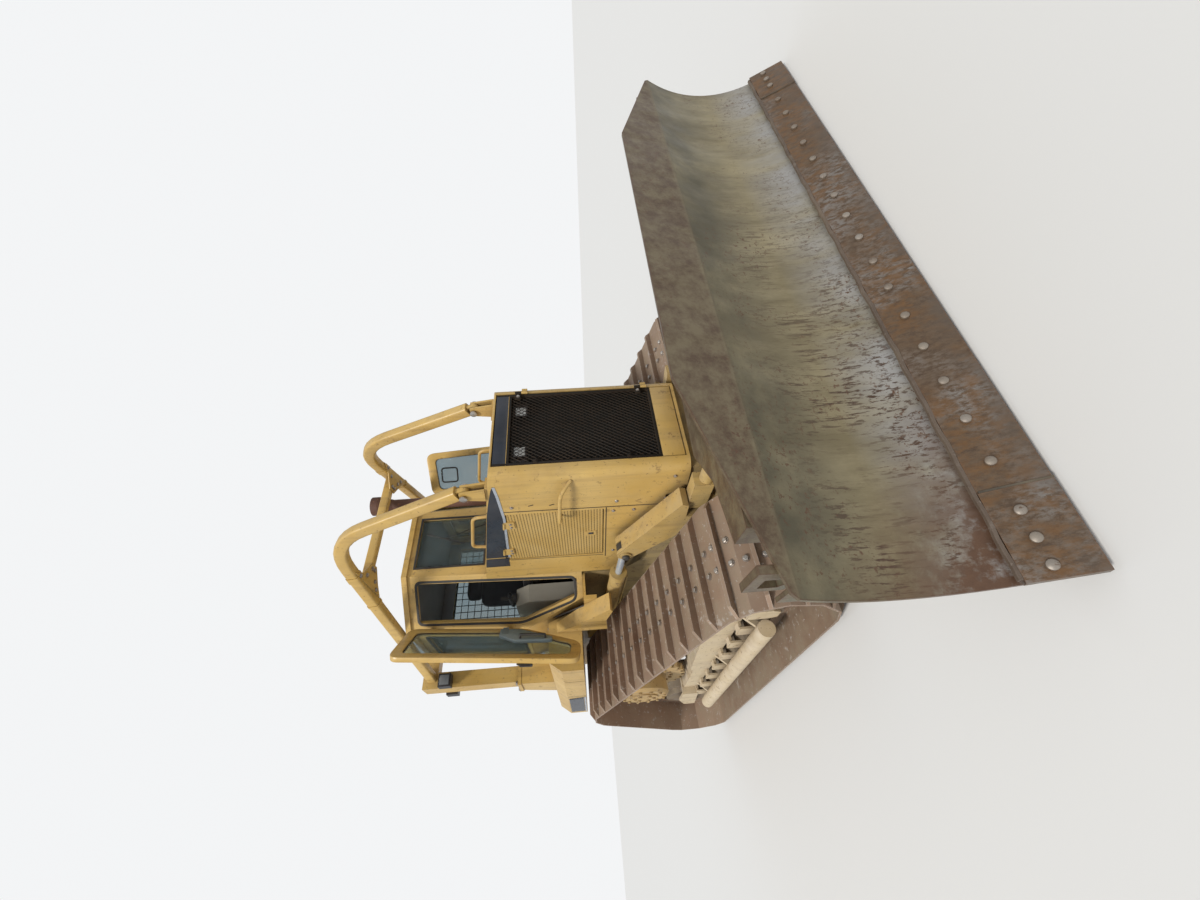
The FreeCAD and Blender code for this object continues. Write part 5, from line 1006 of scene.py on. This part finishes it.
pads = {"seat_cushion": cushion((-250, 360, 2035), (250, 800, 2132), 0.014),
        "seat_back": cushion((-232, 800, 2140), (232, 885, 2620), 0.016),
        "seat_headrest": cushion((-150, 820, 2630), (150, 890, 2785), 0.010),
        "seat_armrest": cushion((-300, 480, 2250), (-245, 800, 2300), 0.006)}
for name, pad in pads.items():
    settle(pad, name, seat_cloth, angle=80)
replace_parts(pads["seat_cushion"], "seat")
base = [block((-150, 430, 1572), (150, 720, 1950), 0.02, 3), block((-200, 390, 1950), (200, 780, 2036), 0.015, 3),
        block((-60, 850, 2600), (60, 875, 2650), 0.005), block((-262, 780, 2140), (-246, 810, 2290), 0.004)]
settle(base, "seat_base", rubber)

# Console: a pale moulded box beside the seat, with the blade lever in a rubber boot on it.
console_grey = aged("console_grey", (0.40, 0.375, 0.31), (0.47, 0.44, 0.37), (0.25, 0.23, 0.2), dusty=0.3,
                    chips=0.1, runs=0.15, gloss=0.6)
dress(console_grey, "console")
boot = copied(turned_head(16, 0.045, 0.030, 0.5, 0.5), [standing((-385, 332, 2176), UP)])
lever = [drawn([(-385, 330, 2178), (-385, 322, 2270)], 0.008),
         drawn([(-385, 322, 2262), (-385, 316, 2330)], 0.019), boot]
settle(lever, "blade_lever", rubber)

# Fenders: a dark louvre with a bright strip at each rear corner, a rubber seal down each nose, and a
# row of bolts along the deck.
FENDER_WALL, LOUVRE_FACE, STRIP_FACE = 1130, 1133, 1130.2
louvres, strips = [], []
for _, side in SIDES:
    louvres.append(on_wall(side, STRIP_FACE, ((1880, 1588), (1880, 1738), (1240, 1738), (1200, 1588)), 0.003))
    for z in range(1602, 1722, 17):
        louvres.append(on_wall(side, LOUVRE_FACE, ((1868, z), (1868, z + 9), (1250, z + 9), (1246, z)), 0.004))
    strips.append(on_wall(side, STRIP_FACE, ((1890, 1566), (1890, 1582), (1196, 1582), (1192, 1566)), 0.005))
settle(louvres, "fender_louvres", trim_black)
seals = [drawn([(side * 655, -52, 1524), (side * 655, 165, 1782), (side * 655, 168, 1855)], 0.009, 0.02)
         for _, side in SIDES]
settle(seals, "fender_nose_seals", rubber)
settle(strips, "fender_strips", trim_silver)
joints = [line_on_wall(side, FENDER_WALL, ((y, 1564), (y, 1746)), 6, SEAM_PROUD) for _, side in SIDES
          for y in (560, 1150)]
settle(joints, "fender_joints", seam_black)
places = [standing((side * 740, y, 1860), UP) for _, side in SIDES for y in range(230, 1900, 230)
          if not 880 < y < 1310]
bolted(0.012, 0.009, places, "fender_bolts")

# Fuel tank: folded plate with its access panel screwed to the back, two bent grab bars and two caps.
TANK_BACK = 1960
TANK_SEAMS = ((-300, 1420, -300, 1780), (300, 1420, 300, 1780), (-300, 1780, 300, 1780), (-300, 1420, 300, 1420),
              (-586, 1362, 586, 1362))
seams = [plate([(x1 - 3, TANK_BACK, z1 - 3), (x2 + 3, TANK_BACK, z1 - 3), (x2 + 3, TANK_BACK, z2 + 3),
                (x1 - 3, TANK_BACK, z2 + 3)], SEAM_PROUD, BACK) for x1, z1, x2, z2 in TANK_SEAMS]
settle(seams, "tank_joints", seam_black)
places = [standing((x, TANK_BACK, z), BACK) for x in (-275, -138, 0, 138, 275) for z in (1445, 1755)]
bolted(0.012, 0.009, places, "tank_bolts")
bars = [drawn([(x, 1956, 1470), (x, 2020, 1470), (x, 2020, 1760), (x, 1956, 1760)], 0.012, 0.04)
        for x in (-450, 450)]
settle(bars, "tank_grab_bars", body_paint)
caps = [standing((x, 1700, 2010), UP) for x in (-380, 380)]
settle(copied(turned_head(20, 0.055, 0.035, 0.2, 0.3), caps), "filler_caps", body_paint)

# Roll-over frame: its two posts stand on feet, each held to the fender by four large bolts.
POST_X, POST_Y, FOOT_TOP = 905, 1095, 2236
places = [standing((side * POST_X + across, POST_Y + along, FOOT_TOP), UP) for _, side in SIDES
          for across in (-95, 95) for along in (-115, 115)]
bolted(0.019, 0.017, places, "rollover_bolts")

# Work lamps on the roll-over posts, facing forward and back: black housings with ribbed lenses.
lens_dull = shade("lens_dull", lambda r: r.blend(r.noise(9, 4), (0.10, 0.11, 0.12), (0.22, 0.23, 0.24)), 0.2,
                  ribbed, bump=0.5, depth=0.003)
glazed([(x, POST_Y + facing * 216, 2945, facing) for x in (-935, 935) for facing in (-1, 1)], 54, "work_lamp",
       lens_dull)

# Push frame, yoke and cylinders: welded box and plate in worn yellow, chrome rods whose pale blue is
# partly painted reflection of the sky, a thin pipe along each lift barrel, and round caps on the pins of the towers.
dress(dusty_paint, "push_frame", "blade_yoke", "lift_barrel_right", "lift_barrel_left", "angle_barrel_right",
      "angle_barrel_left", "tilt_barrel")
# The rods' pale blue colour is partly painted reflection of the sky on the chrome.
rod_chrome = aged("rod_chrome", (0.58, 0.70, 0.84), (0.68, 0.77, 0.88), (0.30, 0.28, 0.26), dusty=0.1, chips=0.1,
                  runs=0.05, gloss=0.22, bump=0.02, metal=0.55)
dress(rod_chrome, "lift_rod_right", "lift_rod_left", "angle_rod_right", "angle_rod_left", "tilt_rod")
LIFT_X, LIFT_FROM, LIFT_WAY = 535, Vector((0, 420, 1290)), Vector((0, -1270, -105)).normalized()
LIFT_UNDER = Vector((0, 0.0824, -0.9966))
EYE = (-850, 1185)
for label, side in SIDES:
    pipe = []
    for along, under in ((110, 60), (110, 84), (760, 84), (760, 60)):
        pipe.append((side * LIFT_X, *(LIFT_FROM + LIFT_WAY * along + LIFT_UNDER * under).yz))
    settle(drawn(pipe, 0.009, 0.02), "lift_pipe_" + label, dusty_paint, "lift_barrel_" + label)
    caps = [turned_head(20, 0.047, 0.012, 0.3, 0.2), turned_head(20, 0.030, 0.012, 0.3, 0.3)]
    for cap, x, out in ((caps[0], 452, -side), (caps[1], 609, side)):
        cap.matrix_world = standing((side * x, *EYE), (out, 0, 0))
    settle(caps, "lift_pin_caps_" + label, rubber, "push_frame")
    folds = [standing((side * x, *EYE), (side, 0, 0)) for x in (508, 521.5, LIFT_X, 548.5)]
    settle(copied(turned_head(28, 0.0635, 0.0130, 0.10, 0.05), folds), "lift_eye_boot_" + label, rubber,
           "lift_rod_" + label)

# Blade: a curved moldboard whose paint is scoured away. It is khaki in the middle, grey and bright low
# down, browner with rust on the lip, with scratches running down it and rust in its corners.


def scoured(r):
    colour = r.blend(r.patch(5, 0.38, 0.62, 8, 0.65, 0.35), (0.180, 0.148, 0.082), (0.310, 0.265, 0.160))
    dark = r.times(r.spread(r.z, 0.52, 0.76), r.spread(r.z, 0.93, 0.89), r.patch(4, 0.35, 0.6, 7, to_low=0.35))
    colour = r.blend(r.times(dark, 0.85), colour, (0.085, 0.078, 0.052))
    bright = r.times(r.spread(r.z, 0.50, 0.26), r.patch(4, 0.30, 0.58, 6, tall=0.3))
    colour = r.blend(r.times(bright, 0.80), colour, (0.36, 0.36, 0.365))
    lip = r.blend(r.patch(11, 0.40, 0.60, 9, 0.75), (0.175, 0.140, 0.085), (0.095, 0.060, 0.036))
    colour = r.blend(r.spread(r.z, 0.885, 0.915), colour, lip)
    zone = r.times(r.patch(2.6, 0.36, 0.54), r.spread(r.z, 0.16, 0.26), r.spread(r.z, 0.82, 0.58))
    rusty_end = r.spread(r.spread(r.x, 0.6, -0.9), 0, 1, 0.30, 1)
    scratches = r.times(r.patch(75, 0.525, 0.580, 7, 0.7, 0.09), zone, rusty_end)
    colour = r.blend(scratches, colour, (0.068, 0.039, 0.025))
    corner = r.times(r.spread(r.plus(r.x, r.times(r.z, 1.4)), -0.55, -1.15), r.patch(9, 0.30, 0.5, 8, 0.7))
    spots = r.times(r.patch(48, 0.565, 0.60, 8, 0.75), r.patch(2.6, 0.42, 0.58, 6))
    rim = r.times(r.edges(0.012), r.patch(14, 0.36, 0.5, 6))
    rust = r.both(r.both(corner, spots), rim)
    return r.blend(rust, colour, r.blend(r.noise(30), (0.080, 0.042, 0.026), (0.155, 0.084, 0.048)))


blade_olive = shade("blade_olive", scoured,
                    lambda r: r.patch(8, 0.3, 0.7, 6, tall=0.3, to_low=0.36, to_high=0.62),
                    lambda r: r.plus(r.noise(42, 6, 0.65, 0.10), r.times(r.noise(120, 4), 0.5)), bump=0.25,
                    metal=0.25)
dress(blade_olive, "blade")

# Cutting edge and end bits: hard steel in three pieces, held by domed plough bolts, streaked orange by
# rust. A weld bead and dried soil fill the step above them.


def streaked(r):
    grain = r.noise(62, 8, 0.75, 0.14)
    bright = r.times(r.spread(grain, 0.56, 0.44), r.patch(1.7, 0.46, 0.60, 4))
    dull = r.blend(r.spread(grain, 0.35, 0.65), (0.165, 0.112, 0.070), (0.092, 0.060, 0.040))
    colour = r.blend(bright, dull, (0.26, 0.245, 0.230))
    orange = r.times(r.patch(34, 0.44, 0.60, 7, 0.7, 0.08), r.patch(2.2, 0.36, 0.56))
    colour = r.blend(r.times(orange, 0.75), colour, (0.195, 0.100, 0.040))
    low = r.times(r.spread(r.z, 0.12, 0.03), r.patch(8, 0.35, 0.6, 6))
    colour = r.blend(r.times(low, 0.7), colour, (0.13, 0.105, 0.085))
    return r.blend(r.times(r.edges(0.008), 0.6), colour, (0.20, 0.11, 0.065))


edge_steel = shade("edge_steel", streaked,
                   lambda r: r.patch(12, 0.3, 0.7, 6, tall=0.2, to_low=0.34, to_high=0.62),
                   lambda r: r.noise(70, tall=0.2), bump=0.25, metal=0.45)
dress(edge_steel, "cutting_edge")
BLADE_TURN, SWIVEL_Y = math.radians(-7.5), -2375
EDGE_Y, EDGE_Z, EDGE_OUT, EDGE_RISE = -729, 143.2, 0.8997, 0.4366


def on_blade(x, y, z):
    """A place on the blade, from its swivel pin, before it is turned with the blade."""
    sine, cosine = math.sin(BLADE_TURN), math.cos(BLADE_TURN)
    return at(x * cosine - y * sine, x * sine + y * cosine + SWIVEL_Y, z)


edge_out = on_blade(0, -EDGE_OUT, EDGE_RISE) - on_blade(0, 0, 0)
bolts = [standing(on_blade(x, EDGE_Y, EDGE_Z), edge_out) for x in range(-1290, 1291, 172)]
bolts += [standing(on_blade(side * x, -733.5, 145.4), edge_out) for _, side in SIDES for x in (1470, 1560, 1645)]
plough_steel = aged("plough_steel", (0.20, 0.165, 0.135), (0.34, 0.31, 0.28), (0.13, 0.075, 0.045), dusty=0.3,
                    chips=0.8, runs=0.8, gloss=0.48, bump=0.3, metal=0.4)
settle(copied(turned_head(14, 0.017, 0.008, 0.45, 0.3), bolts), "edge_bolts", plough_steel, "blade")
bead = drawn([on_blade(x, -684 + 2 * math.sin(x / 37), 217 + 2 * math.sin(x / 23))
              for x in range(-1672, 1673, 44)], 0.011, resolution=1)
joints = [plate([on_blade(side * x, EDGE_Y - EDGE_RISE * down, EDGE_Z - EDGE_OUT * down)
                 for x, down in ((1382, -76), (1389.5, -76), (1389.5, 128), (1382, 128))], 0.0042, edge_out)
          for _, side in SIDES]
settle(joints, "edge_joints", seam_black, "blade")
weld_steel = aged("weld_steel", (0.075, 0.052, 0.040), (0.12, 0.085, 0.065), (0.24, 0.20, 0.17), dusty=0.2,
                  chips=0.5, gloss=0.6, bump=0.5, metal=0.3)
settle(bead, "edge_weld", weld_steel, "blade")

# Studio: a pale floor, soft daylight from the machine's right front, and the photograph's viewpoint.
only()
bpy.ops.mesh.primitive_plane_add(size=80, location=(0, 0, 0))
floor = bpy.context.object
floor.name = "studio_floor"
floor_paint = bpy.data.materials.new("floor_paint")
floor_paint.use_nodes = True
paint = floor_paint.node_tree.nodes["Principled BSDF"].inputs
paint["Base Color"].default_value = (0.74, 0.74, 0.73, 1)
paint["Roughness"].default_value = 0.9
floor.data.materials.append(floor_paint)
world = bpy.data.worlds.new("studio")
bpy.context.scene.world = world
world.use_nodes = True
sky = Recipe(world.node_tree, placed=False)
soft = world.node_tree.nodes["Background"]
sky.put((0.93, 0.96, 1.0), soft.inputs["Color"])
sky.put(0.55, soft.inputs["Strength"])
white = sky.made("ShaderNodeBackground", 0, {"Color": (0.90, 0.91, 0.92), "Strength": 1.0})
seen = sky.made("ShaderNodeLightPath", "Is Camera Ray")
either = sky.made("ShaderNodeMixShader", 0, {"Fac": seen, 1: soft.outputs["Background"], 2: white})
sky.put(either, world.node_tree.nodes["World Output"].inputs["Surface"])
daylight = bpy.data.lights.new("window_light", "SUN")
daylight.energy, daylight.angle, daylight.color = 2.5, math.radians(12), (1.0, 0.97, 0.92)
sun = linked("window_light", daylight)
sun.rotation_mode = "QUATERNION"
sun.rotation_quaternion = Vector((0.62, 0.42, -0.78)).to_track_quat("-Z", "Y")

YAW, PITCH, ROLL = 0.679, -0.051, -0.061
VIEWPOINT, LENS_MM, SENSOR_MM = (-2.13934, -3.56644, 1.516), 14.22, 36
ahead = Vector((math.sin(YAW) * math.cos(PITCH), math.cos(YAW) * math.cos(PITCH), math.sin(PITCH)))
across = Vector((math.cos(YAW), -math.sin(YAW), 0))
above = across.cross(ahead)
right = across * math.cos(ROLL) + above * math.sin(ROLL)
top = above * math.cos(ROLL) - across * math.sin(ROLL)
lens = bpy.data.cameras.new("viewpoint")
lens.sensor_width, lens.lens, lens.clip_start, lens.clip_end = SENSOR_MM, LENS_MM, 0.05, 200
camera = linked("viewpoint", lens)
turn = Matrix((-top, right, -ahead)).transposed().to_4x4()
camera.matrix_world = Matrix.Translation(VIEWPOINT) @ turn
bpy.context.scene.camera = camera
bpy.context.scene.view_settings.view_transform = "Standard"
